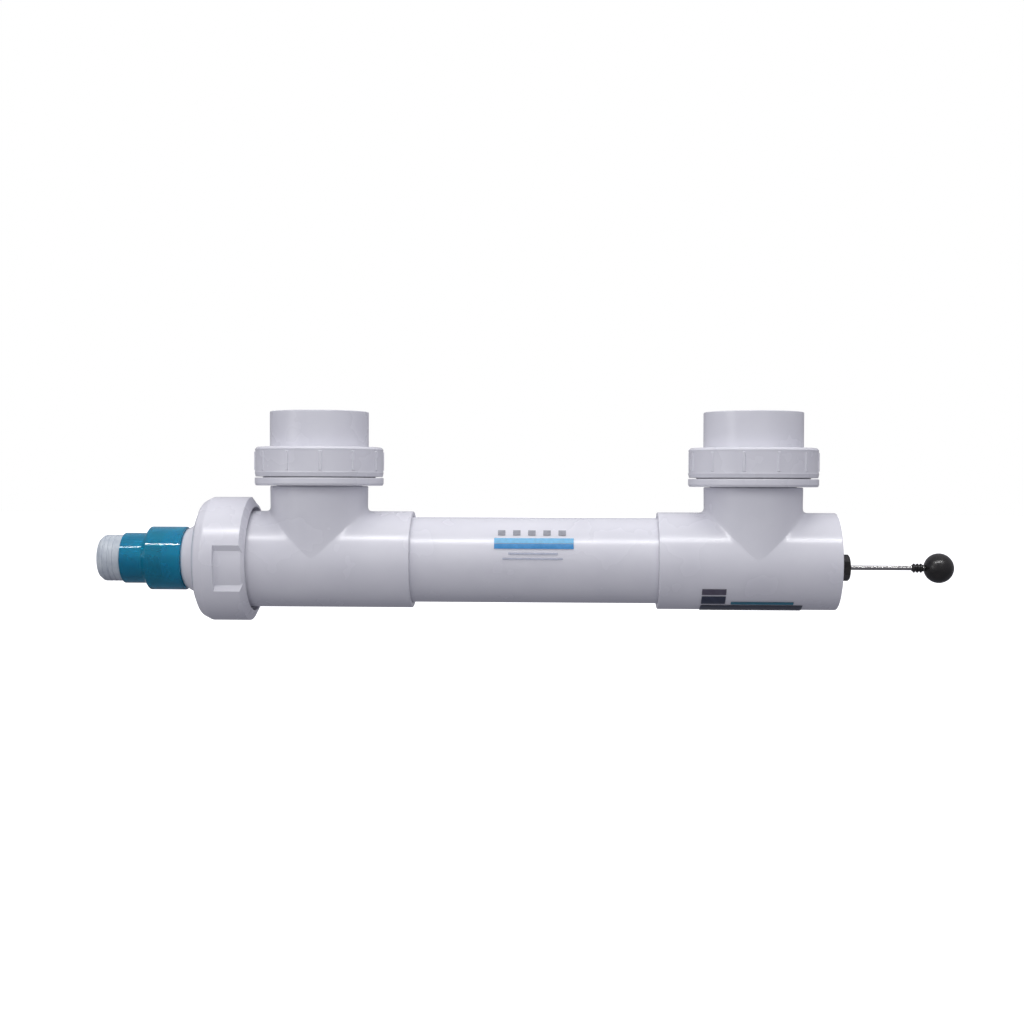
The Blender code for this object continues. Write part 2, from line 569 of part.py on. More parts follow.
def make_gland():
    packing = PACKING_OD / 2
    for i in range(2):
        start = PACKING_START + i * (PACKING_LENGTH + GAP)
        turned_x(f"gland_packing_{i + 1}", tube_outline(start, start + PACKING_LENGTH, ROD_HOLE,
                 packing), materials["rubber"], sides=GLAND_SIDES, place=ROD_PLACE)
    turned_x("gland_follower", tube_outline(FOLLOWER_START, SHANK_END - GAP, ROD_HOLE, packing),
             materials["brass"], sides=GLAND_SIDES, place=ROD_PLACE)
    shank = tube_outline(SHANK_END, NUT_HEX_FACE + 0.001, ROD_HOLE, GLAND_THREAD_OD / 2)
    nut = turned_x("packing_nut", shank, materials["black_plastic"], sides=GLAND_SIDES,
                   place=ROD_PLACE)
    corner = PACKING_NUT_FLATS / 2 / math.cos(math.pi / 6)
    hexagon = tube_outline(NUT_HEX_FACE, PACKING_NUT_END, ROD_HOLE, corner, 0.0007)
    combine(nut, add_cutter("packing_nut_hex", spin_outline(hexagon, ALONG_X, True, 6),
            ROD_PLACE), "UNION")


def make_wiper():
    rod = [(ROD_START, 0), (ROD_START, ROD - 0.0004), (ROD_START + 0.0004, ROD), (ROD_END, ROD),
           (ROD_END, 0)]
    turned_x("wiper_rod", rod, materials["steel"], False, TINY_SIDES, ROD_PLACE)
    turned_x("knob_ferrule", tube_outline(FERRULE_START, FERRULE_END, ROD_HOLE, FERRULE_OD / 2,
             0.0006), materials["black_plastic"], sides=GLAND_SIDES, place=ROD_PLACE)
    radius = KNOB_OD / 2
    mouth = math.degrees(math.asin(ROD_HOLE / radius))
    ball = arc_points((KNOB_CENTER, 0), radius, 180 - mouth, 0, 9)
    bore_end = KNOB_CENTER - radius + KNOB_BORE
    outline = [(bore_end, 0), (bore_end, ROD_HOLE)] + ball[:-1] + [(KNOB_CENTER + radius, 0)]
    turned_x("pull_knob", outline, materials["black_plastic"], False, SMALL_SIDES, ROD_PLACE)
    carriage = turned_x("wiper_carriage", tube_outline(CARRIAGE_START, CARRIAGE_END,
                        CARRIAGE_INNER, CARRIAGE_OUTER, 0.0006), materials["black_plastic"],
                        sides=SMALL_SIDES)
    past = 2 * GAP
    drill_x(carriage, "rod_hole", CARRIAGE_START - past, CARRIAGE_END + past, ROD_HOLE,
            ROD_PLACE)
    flow_hole = (CARRIAGE_OUTER - CARRIAGE_INNER) / 2 - FLOW_HOLE_WEB
    for i in range(1, FLOW_HOLES + 1):
        angle = ROD_ANGLE + math.tau * i / (FLOW_HOLES + 1)
        place = (0, ROD_OFFSET * math.cos(angle), ROD_OFFSET * math.sin(angle))
        drill_x(carriage, f"flow_hole_{i}", CARRIAGE_START - past, CARRIAGE_END + past,
                flow_hole, place, 8)
    turned_x("wiper_ring", tube_outline(CARRIAGE_START, CARRIAGE_END, QUARTZ + GAP,
             QUARTZ + GAP + WIPER_RING_WALL, 0.0005), materials["rubber"], sides=SMALL_SIDES)
    for name, start in (("rod_nut_outer", CARRIAGE_START - GAP - LOCK_NUT_LENGTH),
                        ("rod_nut_inner", CARRIAGE_END + GAP)):
        turned_x(name, tube_outline(start, start + LOCK_NUT_LENGTH, ROD_HOLE, LOCK_NUT_OD / 2,
                 0.0003), materials["steel"], sides=6, place=ROD_PLACE)


def make_film(name, start, length, radius, middle, arc):
    """A thin printed film bent round a pipe, between two stations and over an arc."""
    bm = bmesh.new()
    inner, outer = radius + GAP, radius + GAP + FILM
    corners = [(start, inner), (start, outer), (start + length, outer), (start + length, inner)]
    verts = [bm.verts.new((x, away * math.cos(middle - arc / 2), away * math.sin(middle - arc / 2)))
             for x, away in corners]
    face = bm.faces.new(verts)
    bmesh.ops.spin(bm, geom=[face], axis=(1, 0, 0), cent=(0, 0, 0), angle=arc, steps=12)
    add_object(name, bm, materials["film"])


def make_films():
    make_film("tube_mark", -MARK_LENGTH / 2, MARK_LENGTH, PIPE_OD / 2, MARK_ANGLE, MARK_ARC)
    make_film("rating_label", PORT_X - LABEL_LENGTH / 2, LABEL_LENGTH, HUB, LABEL_ANGLE, LABEL_ARC)


def build():
    clear_scene()
    make_materials()
    make_center_tube()
    for name, side, turn in (("inlet", -1, INLET_NUT_TURN), ("outlet", 1, OUTLET_NUT_TURN)):
        x = side * PORT_X
        make_tee(name + "_tee", side)
        make_union_body(name + "_union_body", x)
        make_face_seal(name + "_union_seal", x)
        make_tailpiece(name + "_tailpiece", x)
        make_union_nut(name + "_union_nut", x, turn)
    make_adapter()
    make_housing_nut()
    make_end_fitting()
    make_quartz_sleeve()
    make_quartz_nut()
    make_lamp()
    make_end_plug()
    make_gland()
    make_wiper()
    make_films()


build()
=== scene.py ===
from math import asin, atan2, ceil, cos, degrees, hypot, pi, radians, sin, tan, tau

import bpy
import numpy as np
from mathutils import Euler, Matrix, Vector


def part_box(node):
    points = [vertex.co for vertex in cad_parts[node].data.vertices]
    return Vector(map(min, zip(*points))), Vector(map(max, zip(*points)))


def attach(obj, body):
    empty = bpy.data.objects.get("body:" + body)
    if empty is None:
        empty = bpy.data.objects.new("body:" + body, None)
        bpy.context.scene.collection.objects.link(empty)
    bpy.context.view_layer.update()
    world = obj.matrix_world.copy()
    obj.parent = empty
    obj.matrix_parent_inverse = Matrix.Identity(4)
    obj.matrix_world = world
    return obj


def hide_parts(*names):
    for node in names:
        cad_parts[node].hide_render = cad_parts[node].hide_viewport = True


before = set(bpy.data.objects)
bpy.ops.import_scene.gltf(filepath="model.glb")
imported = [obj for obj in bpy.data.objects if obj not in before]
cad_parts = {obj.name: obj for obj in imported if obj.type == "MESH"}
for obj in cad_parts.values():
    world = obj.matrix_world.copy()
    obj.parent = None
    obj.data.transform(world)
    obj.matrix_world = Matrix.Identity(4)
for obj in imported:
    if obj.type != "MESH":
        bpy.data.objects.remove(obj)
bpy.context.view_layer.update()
print("frame loaded with", len(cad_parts), "nodes")


def setInputs(tree, node, inputs):
    # the values are plain values, or sockets to link from
    for place, value in inputs.items():
        if isinstance(value, bpy.types.NodeSocket):
            tree.links.new(value, node.inputs[place])
        else:
            node.inputs[place].default_value = value
    return node


def addNode(tree, kind, inputs=None, **settings):
    node = tree.nodes.new("ShaderNode" + kind)
    for name, value in settings.items():
        setattr(node, name, value)
    return setInputs(tree, node, inputs or {})


def newSurface(name):
    surface = bpy.data.materials.new(name)
    surface.use_nodes = True
    tree = surface.node_tree
    return surface, tree, tree.nodes["Principled BSDF"]


cameraSettings = {
    "lens": 50,
    "sensor": 36,
    "place": (0.0237, -1.0090, 0.0546),
    "turnLeft": 0.0396,
    "tipDown": 0.0204,
    "roll": 0.0033,
}


def addCamera(settings):
    bpy.ops.object.camera_add(location=settings["place"])
    camera = bpy.context.object
    camera.name = "studioCamera"
    camera.data.lens = settings["lens"]
    camera.data.sensor_width = settings["sensor"]
    level = Euler((pi / 2 - settings["tipDown"], 0, settings["turnLeft"]))
    turned = level.to_matrix() @ Matrix.Rotation(settings["roll"], 3, "Z")
    camera.rotation_euler = turned.to_euler()
    bpy.context.scene.camera = camera


floorSettings = {
    "below": 0.30,          # from the housing's axis down to the floor
    "size": 30,
    "color": (0.93, 0.94, 0.945, 1),
    "roughness": 0.9,
    "glow": 0.9,            # a lit sweep, so that it stays pale all over
}


def addFloor(settings):
    bpy.ops.mesh.primitive_plane_add(size=settings["size"], location=(0, 0, -settings["below"]))
    floor = bpy.context.object
    floor.name = "studioFloor"
    paint, tree, shader = newSurface("floorPaint")
    setInputs(tree, shader, {"Base Color": settings["color"], "Roughness": settings["roughness"],
                             "Emission Color": (1, 1, 1, 1),
                             "Emission Strength": settings["glow"]})
    floor.data.materials.append(paint)
    floor.visible_diffuse = False       # its bounce would flatten the shading underneath
    floor.visible_glossy = False
    floor.visible_transmission = False


skySettings = {
    "seen": (1, 1, 1, 1),       # by the camera; the rest is what lights the piece
    "above": (0.93, 0.92, 1.0, 1),
    "below": (0.38, 0.38, 0.44, 1),
    "low": -0.5,                # the two heights that the colors blend between
    "high": 0.8,
    "strength": 0.55,
}


def addSky(settings):
    world = bpy.data.worlds.new("studioSky")
    world.use_nodes = True
    bpy.context.scene.world = world
    tree = world.node_tree
    tree.nodes.clear()
    where = addNode(tree, "TexCoord")
    split = addNode(tree, "SeparateXYZ", {"Vector": where.outputs["Generated"]})
    height = addNode(tree, "MapRange", {"Value": split.outputs["Z"], "From Min": settings["low"],
                                        "From Max": settings["high"]})
    ramp = addNode(tree, "ValToRGB", {"Fac": height.outputs["Result"]})
    ramp.color_ramp.elements[0].color = settings["below"]
    ramp.color_ramp.elements[1].color = settings["above"]
    soft = addNode(tree, "Background", {"Color": ramp.outputs["Color"],
                                        "Strength": settings["strength"]})
    plain = addNode(tree, "Background", {"Color": settings["seen"]})
    path = addNode(tree, "LightPath")
    mix = addNode(tree, "MixShader", {"Fac": path.outputs["Is Camera Ray"],
                                      1: soft.outputs["Background"],
                                      2: plain.outputs["Background"]})
    addNode(tree, "OutputWorld", {"Surface": mix.outputs["Shader"]})


lampSettings = {
    "overhead": {"place": (0.0, -0.15, 1.1), "size": (1.5, 0.7), "power": 6.9, "matte": True},
    "frontStrip": {"place": (0.0, -0.82, 1.12), "size": (1.6, 0.05), "power": 13.0, "streak": True},
    "frontFill": {"place": (0.0, -1.3, 0.5), "size": (1.8, 0.8), "power": 5.9, "matte": True},
    "sideFill": {"place": (-1.3, -0.9, 0.35), "size": (0.6, 0.6), "power": 2},
}


def addStudioLights(settings):
    for name, lamp in settings.items():
        place = Vector(lamp["place"])
        bpy.ops.object.light_add(type="AREA", location=place)
        light = bpy.context.object
        light.name = name
        light.data.shape = "RECTANGLE"
        light.data.size, light.data.size_y = lamp["size"]
        light.data.energy = lamp["power"]
        light.visible_glossy = not lamp.get("matte", False)
        light.visible_diffuse = not lamp.get("streak", False)
        light.rotation_euler = (-place).to_track_quat("-Z", "Y").to_euler()


addCamera(cameraSettings)
addFloor(floorSettings)
addSky(skySettings)
addStudioLights(lampSettings)
bpy.context.scene.view_settings.view_transform = "Standard"
print("camera, floor and lights are in place")


# sizes and places that the CAD nodes give
portX = (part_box("outlet_tailpiece")[0].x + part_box("outlet_tailpiece")[1].x) / 2
tubeLow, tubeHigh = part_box("center_tube")
teeLow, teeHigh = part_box("outlet_tee")
adapterLow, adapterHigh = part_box("lamp_end_adapter")
rodLow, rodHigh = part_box("wiper_rod")
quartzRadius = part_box("quartz_sleeve")[1].z
pipeRadius = tubeHigh.z
hubRadius = -teeLow.z
rodSpot = (0, (rodLow.y + rodHigh.y) / 2, (rodLow.z + rodHigh.z) / 2)
gap = 0.0003            # between pieces that touch
rodHole = rodHigh.z - rodSpot[2] + gap
weld = 1e-6             # vertices nearer than this are one
past = 0.001            # how far a cutting shape runs on beyond a face


def onlySelect(piece):
    if bpy.context.mode != "OBJECT":
        bpy.ops.object.mode_set(mode="OBJECT")
    bpy.ops.object.select_all(action="DESELECT")
    if piece:
        piece.select_set(True)
        bpy.context.view_layer.objects.active = piece


def editAll(piece):
    onlySelect(piece)
    bpy.ops.object.mode_set(mode="EDIT")
    bpy.ops.mesh.select_all(action="SELECT")


def isOpen(points):
    # an outline that starts and ends on the axis makes a solid piece, any other one a ring
    return max(points[0][1], points[-1][1]) < 1e-9


def rounded(corners, steps=4):
    # corners are (station, radius) or (station, radius, rounding)
    points = []
    openEnds = (0, len(corners) - 1) if isOpen(corners) else ()
    for i, corner in enumerate(corners):
        here = Vector(corner[:2])
        if len(corner) < 3 or i in openEnds:
            points.append(here)
            continue
        back = Vector(corners[i - 1][:2]) - here
        ahead = Vector(corners[(i + 1) % len(corners)][:2]) - here
        reach = corner[2] / tan(back.angle(ahead) / 2)
        reach = min(reach, back.length * 0.49, ahead.length * 0.49)
        first = here + back.normalized() * reach
        last = here + ahead.normalized() * reach
        for k in range(steps + 1):
            t = k / steps
            points.append(first * (1 - t) ** 2 + here * 2 * t * (1 - t) + last * t * t)
    return points


def divided(points, step):
    # long runs of an outline get more points, no further apart than the step
    result = [points[0]]
    for a, b in zip(points, points[1:]):
        count = max(1, ceil((b - a).length / step))
        result += [a.lerp(b, k / count) for k in range(1, count + 1)]
    return result


def arc(center, radius, start, end, steps=12):
    # points round a center, angles in degrees from the axis' own direction
    points = []
    for k in range(steps + 1):
        angle = radians(start + (end - start) * k / steps)
        points.append(Vector((center[0] + radius * cos(angle),
                              center[1] + radius * sin(angle))))
    return points


def spot(point, axis, at, angle=0.0):
    station, radius = point[0], point[1]
    side, up = radius * cos(angle), radius * sin(angle)
    if axis == "X":
        return Vector((station + at[0], side + at[1], up + at[2]))
    return Vector((side + at[0], up + at[1], station + at[2]))


def drawLine(name, places):
    # a plane merged to one vertex and drawn out from place to place; left in edit mode
    onlySelect(None)
    bpy.ops.mesh.primitive_plane_add(size=0.001)
    piece = bpy.context.object
    piece.name = name
    piece.data.name = name
    bpy.ops.object.mode_set(mode="EDIT")
    bpy.ops.mesh.select_mode(type="VERT")
    bpy.ops.mesh.select_all(action="SELECT")
    bpy.ops.mesh.merge(type="CENTER")
    bpy.ops.transform.translate(value=places[0])
    for a, b in zip(places, places[1:]):
        bpy.ops.mesh.extrude_vertices_move(TRANSFORM_OT_translate={"value": b - a})
    bpy.ops.mesh.select_all(action="SELECT")
    bpy.ops.mesh.remove_doubles(threshold=weld)
    return piece


def lathe(name, points, axis="X", at=(0, 0, 0), sides=128, sweep=360.0, start=0.0):
    # an outline spun round the axis
    places = [spot(p, axis, at, radians(start)) for p in points]
    if not isOpen(points):
        places.append(places[0])
    piece = drawLine(name, places)
    if sweep < 360:
        bpy.ops.mesh.edge_face_add()
    around = (1, 0, 0) if axis == "X" else (0, 0, 1)
    bpy.ops.mesh.spin(steps=sides, angle=-radians(sweep), center=at, axis=around)
    cleanMesh()
    return piece


def cleanMesh():
    bpy.ops.mesh.select_all(action="SELECT")
    bpy.ops.mesh.remove_doubles(threshold=weld)
    bpy.ops.mesh.normals_make_consistent(inside=False)
    bpy.ops.object.mode_set(mode="OBJECT")


def applyModifier(piece, kind, **settings):
    onlySelect(piece)
    step = piece.modifiers.new(kind, kind)
    for name, value in settings.items():
        setattr(step, name, value)
    bpy.ops.object.modifier_apply(modifier=step.name)


def combine(piece, tool, operation):
    applyModifier(piece, "BOOLEAN", operation=operation, solver="EXACT", object=tool)
    bpy.data.objects.remove(tool)


def bevelEdges(piece, width, segments=3, angle=30):
    applyModifier(piece, "BEVEL", width=width, segments=segments, limit_method="ANGLE",
                  angle_limit=radians(angle), harden_normals=False)


def camel(node):
    # a piece is called what its CAD node is called, in another style
    first, *rest = node.split("_")
    return first + "".join(word.capitalize() for word in rest)


def copyTo(piece, name, turn=0.0, shift=(0, 0, 0)):
    # a copy with its own mesh, turned about Z and moved in its mesh
    onlySelect(piece)
    bpy.ops.object.duplicate(linked=False)
    twin = bpy.context.object
    twin.name = name
    twin.data.name = name
    moveMesh(twin, turn, shift)
    return twin


def moveMesh(piece, turn=0.0, shift=(0, 0, 0)):
    editAll(piece)
    if turn:
        bpy.ops.transform.rotate(value=-turn, orient_axis="Z", center_override=(0, 0, 0))
    bpy.ops.transform.translate(value=shift)
    bpy.ops.object.mode_set(mode="OBJECT")


def helix(name, crest, depth, lead, start, turns, axis="X", at=(0, 0, 0), sides=72):
    # a right-handed ridge with sloping flanks, to be joined to a core
    root = crest - depth - gap
    ridge = [(start - 0.40 * lead, root), (start - 0.10 * lead, crest),
             (start + 0.10 * lead, crest), (start + 0.40 * lead, root)]
    places = [spot(p, axis, (0, 0, 0)) for p in ridge]
    piece = drawLine(name, places + places[:1])
    count = int(sides * turns)
    applyModifier(piece, "SCREW", axis=axis, angle=tau * turns, screw_offset=lead * turns,
                  steps=count, render_steps=count, use_merge_vertices=False)
    editAll(piece)
    bpy.ops.mesh.fill_holes(sides=0)
    bpy.ops.mesh.select_all(action="SELECT")
    bpy.ops.mesh.normals_make_consistent(inside=False)
    bpy.ops.transform.translate(value=at)
    bpy.ops.object.mode_set(mode="OBJECT")
    return piece


def tubeOutline(low, high, inner, outer, innerRim, outerRim):
    return rounded([(low, inner, innerRim), (low, outer, outerRim), (high, outer, outerRim),
                    (high, inner, innerRim)])


def cutTurned(piece, name, corners, at, sides):
    # takes a turned shape out of the piece
    points = [Vector(corner) for corner in corners]
    combine(piece, lathe(name, points, at=at, sides=sides), "DIFFERENCE")


def drill(piece, name, low, high, radius, at, sides):
    cutTurned(piece, name, [(low, 0), (low, radius), (high, radius), (high, 0)], at, sides)


def hexagon(name, across, low, high, turn=0):
    # a six-sided bar along X on the rod's axis
    onlySelect(None)
    bpy.ops.mesh.primitive_cylinder_add(vertices=6, radius=across, depth=high - low)
    nut = bpy.context.object
    nut.name = name
    nut.data.name = name
    editAll(nut)
    if turn:
        bpy.ops.transform.rotate(value=-radians(turn), orient_axis="Z",
                                 center_override=(0, 0, 0))
    bpy.ops.transform.rotate(value=-radians(90), orient_axis="Y", center_override=(0, 0, 0))
    bpy.ops.transform.translate(value=((low + high) / 2, rodSpot[1], rodSpot[2]))
    bpy.ops.object.mode_set(mode="OBJECT")
    return nut


def finish(piece, body, node, look, crease=32):
    # cleaned, smoothed and painted, and set on its body in place of the CAD node
    editAll(piece)
    cleanMesh()
    bpy.ops.object.shade_smooth_by_angle(angle=radians(crease))
    applyModifier(piece, "WEIGHTED_NORMAL", keep_sharp=True)
    material, slot = made[look]
    piece.data.materials.clear()
    piece.data.materials.append(material)
    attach(piece, body)
    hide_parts(node)


def turned(node, body, look, outline, **options):
    finish(lathe(camel(node), outline, **options), body, node, look)


def finishPair(piece, node, look, bodies=("housing", "housing"), turns=(pi, 0), crease=32):
    # a piece modelled at the origin goes to the outlet port and its copy to the inlet port
    twin = copyTo(piece, camel("inlet_" + node), turns[0], (-portX, 0, 0))
    moveMesh(piece, turns[1], (portX, 0, 0))
    finish(piece, bodies[1], "outlet_" + node, look, crease)
    finish(twin, bodies[0], "inlet_" + node, look, crease)


def newGroup(name, inputs, outputs):
    group = bpy.data.node_groups.new(name, "ShaderNodeTree")
    for label, value in inputs.items():
        socket = group.interface.new_socket(label, in_out="INPUT", socket_type="NodeSocketFloat")
        socket.default_value = value
    for label in outputs:
        group.interface.new_socket(label, in_out="OUTPUT", socket_type="NodeSocketFloat")
    return group, group.nodes.new("NodeGroupInput"), group.nodes.new("NodeGroupOutput")


def rangeNode(tree, value, low, high, toLow, toHigh):
    node = addNode(tree, "MapRange", {"Value": value, "From Min": low, "From Max": high,
                                      "To Min": toLow, "To Max": toHigh})
    return node.outputs["Result"]


def maths(tree, operation, *values):
    node = addNode(tree, "Math", dict(enumerate(values)), operation=operation)
    return node.outputs["Value"]


def noise(tree, where, scale, detail, roughness):
    node = addNode(tree, "TexNoise", {"Vector": where, "Scale": scale, "Detail": detail,
                                      "Roughness": roughness})
    return node.outputs["Fac"]


def makeGrainGroup():
    # slow clouds, as in moulded plastic, and a fine grain; stretch draws the grain out along X
    inputs = {"Cloud Scale": 30, "Grain Scale": 900, "Stretch": 1}
    group, given, out = newGroup("mouldGrain", inputs, ["Cloud", "Grain"])
    where = addNode(group, "TexCoord").outputs["Object"]
    scale = addNode(group, "CombineXYZ", {"X": given.outputs["Stretch"], "Y": 1, "Z": 1})
    mapping = addNode(group, "Mapping", {"Vector": where, "Scale": scale.outputs["Vector"]})
    cloud = noise(group, where, given.outputs["Cloud Scale"], 3, 0.5)
    grain = noise(group, mapping.outputs["Vector"], given.outputs["Grain Scale"], 4, 0.6)
    setInputs(group, out, {"Cloud": cloud, "Grain": grain})
    return group


def makeScuffGroup():
    # sparse short rubs and handling marks
    inputs = {"Scale": 60, "Amount": 0.3}
    group, given, out = newGroup("handlingScuffs", inputs, ["Mask"])
    where = addNode(group, "TexCoord").outputs["Object"]
    mapping = addNode(group, "Mapping", {"Vector": where, "Scale": (0.25, 1, 2.2),
                                         "Rotation": (0.3, 0.2, 0.5)})
    lines = noise(group, mapping.outputs["Vector"], given.outputs["Scale"], 6, 0.7)
    sharp = rangeNode(group, lines, 0.60, 0.72, 0, 1)
    patchy = rangeNode(group, noise(group, where, 22, 2, 0.5), 0.5, 0.7, 0, 1)
    both = maths(group, "MULTIPLY", sharp, patchy)
    setInputs(group, out, {"Mask": maths(group, "MULTIPLY", both, given.outputs["Amount"])})
    return group


grainGroup = makeGrainGroup()
scuffGroup = makeScuffGroup()


def addGroup(tree, group, inputs):
    node = tree.nodes.new("ShaderNodeGroup")
    node.node_tree = group
    return setInputs(tree, node, inputs)


def mixColor(tree, fac, first, second):
    # each of the two is a color or a socket
    ends = [v if isinstance(v, bpy.types.NodeSocket) else (*v, 1) for v in (first, second)]
    node = addNode(tree, "Mix", {"Factor": fac, 6: ends[0], 7: ends[1]}, data_type="RGBA")
    return node.outputs[2]


def bumpNode(tree, height, strength, distance):
    inputs = {"Strength": strength, "Distance": distance, "Height": height}
    return addNode(tree, "Bump", inputs).outputs["Normal"]


def makeFinish(name, look):
    # one Principled surface with clouds in its color and gloss, grain in its bump, and scuffs
    surface, tree, shader = newSurface(name)
    grain = addGroup(tree, grainGroup, {"Cloud Scale": look["cloud"], "Grain Scale": look["grain"],
                                        "Stretch": look.get("stretch", 1)})
    scuffs = addGroup(tree, scuffGroup, {"Scale": look.get("scuffScale", 60),
                                         "Amount": look["scuffs"]}).outputs["Mask"]
    cloud = grain.outputs["Cloud"]
    cloudy = rangeNode(tree, cloud, 0.35, 0.65, 0, 1)
    color = mixColor(tree, cloudy, look["color"], look["shade"])
    color = mixColor(tree, scuffs, color, look["rubbed"])
    gloss = rangeNode(tree, cloud, 0.3, 0.7, *look["roughness"])
    rough = maths(tree, "MULTIPLY_ADD", scuffs, 0.15, gloss)
    bump = bumpNode(tree, grain.outputs["Grain"], look["bump"], 0.00005)
    setInputs(tree, shader, {"Base Color": color, "Roughness": rough, "Normal": bump})
    plain = {"Metallic": "metallic", "Transmission Weight": "clear", "IOR": "ior",
             "Coat Weight": "coat", "Coat Roughness": "coatRoughness"}
    setInputs(tree, shader, {label: look[key] for label, key in plain.items() if key in look})
    return surface


finishes = {
    "whitePvc": {
        "slot": "pvc_white", "color": (0.78, 0.78, 0.83), "shade": (0.735, 0.735, 0.79),
        "cloud": 26, "grain": 1400, "roughness": (0.22, 0.30), "bump": 0.12, "scuffs": 0.03,
        "rubbed": (0.66, 0.66, 0.72), "coat": 0.12, "coatRoughness": 0.2},
    "capResin": {
        "slot": "pvc_white", "color": (0.58, 0.63, 0.67), "shade": (0.46, 0.51, 0.57), "cloud": 120,
        "grain": 900, "roughness": (0.34, 0.48), "bump": 0.25, "scuffs": 0.5,
        "rubbed": (0.50, 0.54, 0.56)},
    "tealClear": {
        "slot": "teal_clear", "color": (0.0, 0.46, 0.68), "shade": (0.0, 0.38, 0.60), "cloud": 60,
        "grain": 700, "roughness": (0.05, 0.10), "bump": 0.06, "scuffs": 0.2,
        "rubbed": (0.03, 0.30, 0.42), "clear": 0.66, "ior": 1.49},
    "fusedQuartz": {
        "slot": "quartz", "color": (0.94, 0.97, 0.98), "shade": (0.92, 0.96, 0.97), "cloud": 40,
        "grain": 600, "roughness": (0.02, 0.05), "bump": 0.03, "scuffs": 0.2,
        "rubbed": (0.9, 0.93, 0.94), "clear": 1.0, "ior": 1.458},
    "lampGlass": {
        "slot": "lamp_glass", "color": (0.90, 0.94, 0.96), "shade": (0.87, 0.92, 0.95), "cloud": 80,
        "grain": 800, "roughness": (0.03, 0.08), "bump": 0.03, "scuffs": 0.1,
        "rubbed": (0.85, 0.9, 0.92), "clear": 0.95, "ior": 1.47},
    "ceramic": {
        "slot": "ceramic", "color": (0.86, 0.84, 0.77), "shade": (0.79, 0.76, 0.69), "cloud": 200,
        "grain": 1500, "roughness": (0.42, 0.58), "bump": 0.35, "scuffs": 0.4,
        "rubbed": (0.6, 0.58, 0.54)},
    "brass": {
        "slot": "brass", "color": (0.70, 0.52, 0.22), "shade": (0.60, 0.43, 0.17), "cloud": 160,
        "grain": 2200, "stretch": 6, "roughness": (0.22, 0.36), "bump": 0.25,
        "scuffs": 0.5, "rubbed": (0.5, 0.38, 0.18), "metallic": 1.0},
    "sealRubber": {
        "slot": "rubber", "color": (0.022, 0.022, 0.024), "shade": (0.035, 0.035, 0.037),
        "cloud": 150, "grain": 2500, "roughness": (0.55, 0.72), "bump": 0.4,
        "scuffs": 0.5, "rubbed": (0.08, 0.08, 0.085)},
    "blackResin": {
        "slot": "black_plastic", "color": (0.010, 0.009, 0.009), "shade": (0.018, 0.016, 0.015),
        "cloud": 220, "grain": 1800, "roughness": (0.20, 0.34), "bump": 0.3,
        "scuffs": 0.6, "scuffScale": 160, "rubbed": (0.05, 0.045, 0.04)},
    "drawnSteel": {
        "slot": "steel", "color": (0.46, 0.45, 0.44), "shade": (0.36, 0.355, 0.35), "cloud": 140,
        "grain": 2600, "stretch": 0.02, "roughness": (0.20, 0.32), "bump": 0.3,
        "scuffs": 0.4, "rubbed": (0.3, 0.29, 0.28), "metallic": 1.0},
}
made = {name: (makeFinish(name, look), look["slot"]) for name, look in finishes.items()}


def boxMask(tree, across, along, left, right, low, high):
    # 1 inside a rectangle of the two coordinates, with a slightly soft rim
    soft = 0.00012
    softTilt = 0.004
    parts = [rangeNode(tree, along, left - soft, left + soft, 0, 1),
             rangeNode(tree, along, right - soft, right + soft, 1, 0),
             rangeNode(tree, across, low - softTilt, low + softTilt, 0, 1),
             rangeNode(tree, across, high - softTilt, high + softTilt, 1, 0)]
    total = parts[0]
    for part in parts[1:]:
        total = maths(tree, "MULTIPLY", total, part)
    return total


def makePrint(name, look, middle):
    # clear film with printed blocks; blocks are (color, left, right, low, high), low and
    # high as angles round the pipe in degrees and left and right in metres along it
    sheet, tree, shader = newSurface(name)
    where = addNode(tree, "TexCoord").outputs["Object"]
    split = addNode(tree, "SeparateXYZ", {"Vector": where})
    away = maths(tree, "MULTIPLY", split.outputs["Y"], -1)
    turn = maths(tree, "ARCTAN2", split.outputs["Z"], away)
    grain = addGroup(tree, grainGroup, {"Cloud Scale": 300, "Grain Scale": 1600, "Stretch": 1})
    cloud = grain.outputs["Cloud"]
    color = film["clear"]
    cover = None
    for paint, left, right, low, high in look["blocks"]:
        mask = boxMask(tree, turn, split.outputs["X"], middle + left, middle + right,
                       radians(low), radians(high))
        color = mixColor(tree, mask, color, paint)
        cover = maths(tree, "MAXIMUM", cover, mask) if cover else mask
    worn = maths(tree, "MULTIPLY", cover, rangeNode(tree, cloud, 0.3, 0.7, 0.80, 1.0))
    gloss = rangeNode(tree, cloud, 0.3, 0.7, 0.28, 0.42)
    bump = bumpNode(tree, grain.outputs["Grain"], 0.1, 0.00004)
    setInputs(tree, shader, {"Base Color": color, "Roughness": gloss, "Alpha": worn,
                             "Normal": bump})
    return sheet


print("materials are made:", ", ".join(sorted(made)))


pipe = {"wall": 0.0039, "socketWall": 0.0037, "stopRidge": 0.00475, "rim": 0.0007}
bore = pipeRadius - pipe["wall"]
socket = hubRadius - pipe["socketWall"]


def makeCenterTube():
    outline = tubeOutline(tubeLow.x, tubeHigh.x, bore, pipeRadius, 0.0003, pipe["rim"])
    turned("center_tube", "housing", "whitePvc", outline, sides=160)


tee = {
    "rim": 0.0009,
    "crease": 0.0036,        # reach of the soft crease between the run and the branch
    "station": 0.0016,       # spacing of its rings of vertices
    "sides": 144,
}


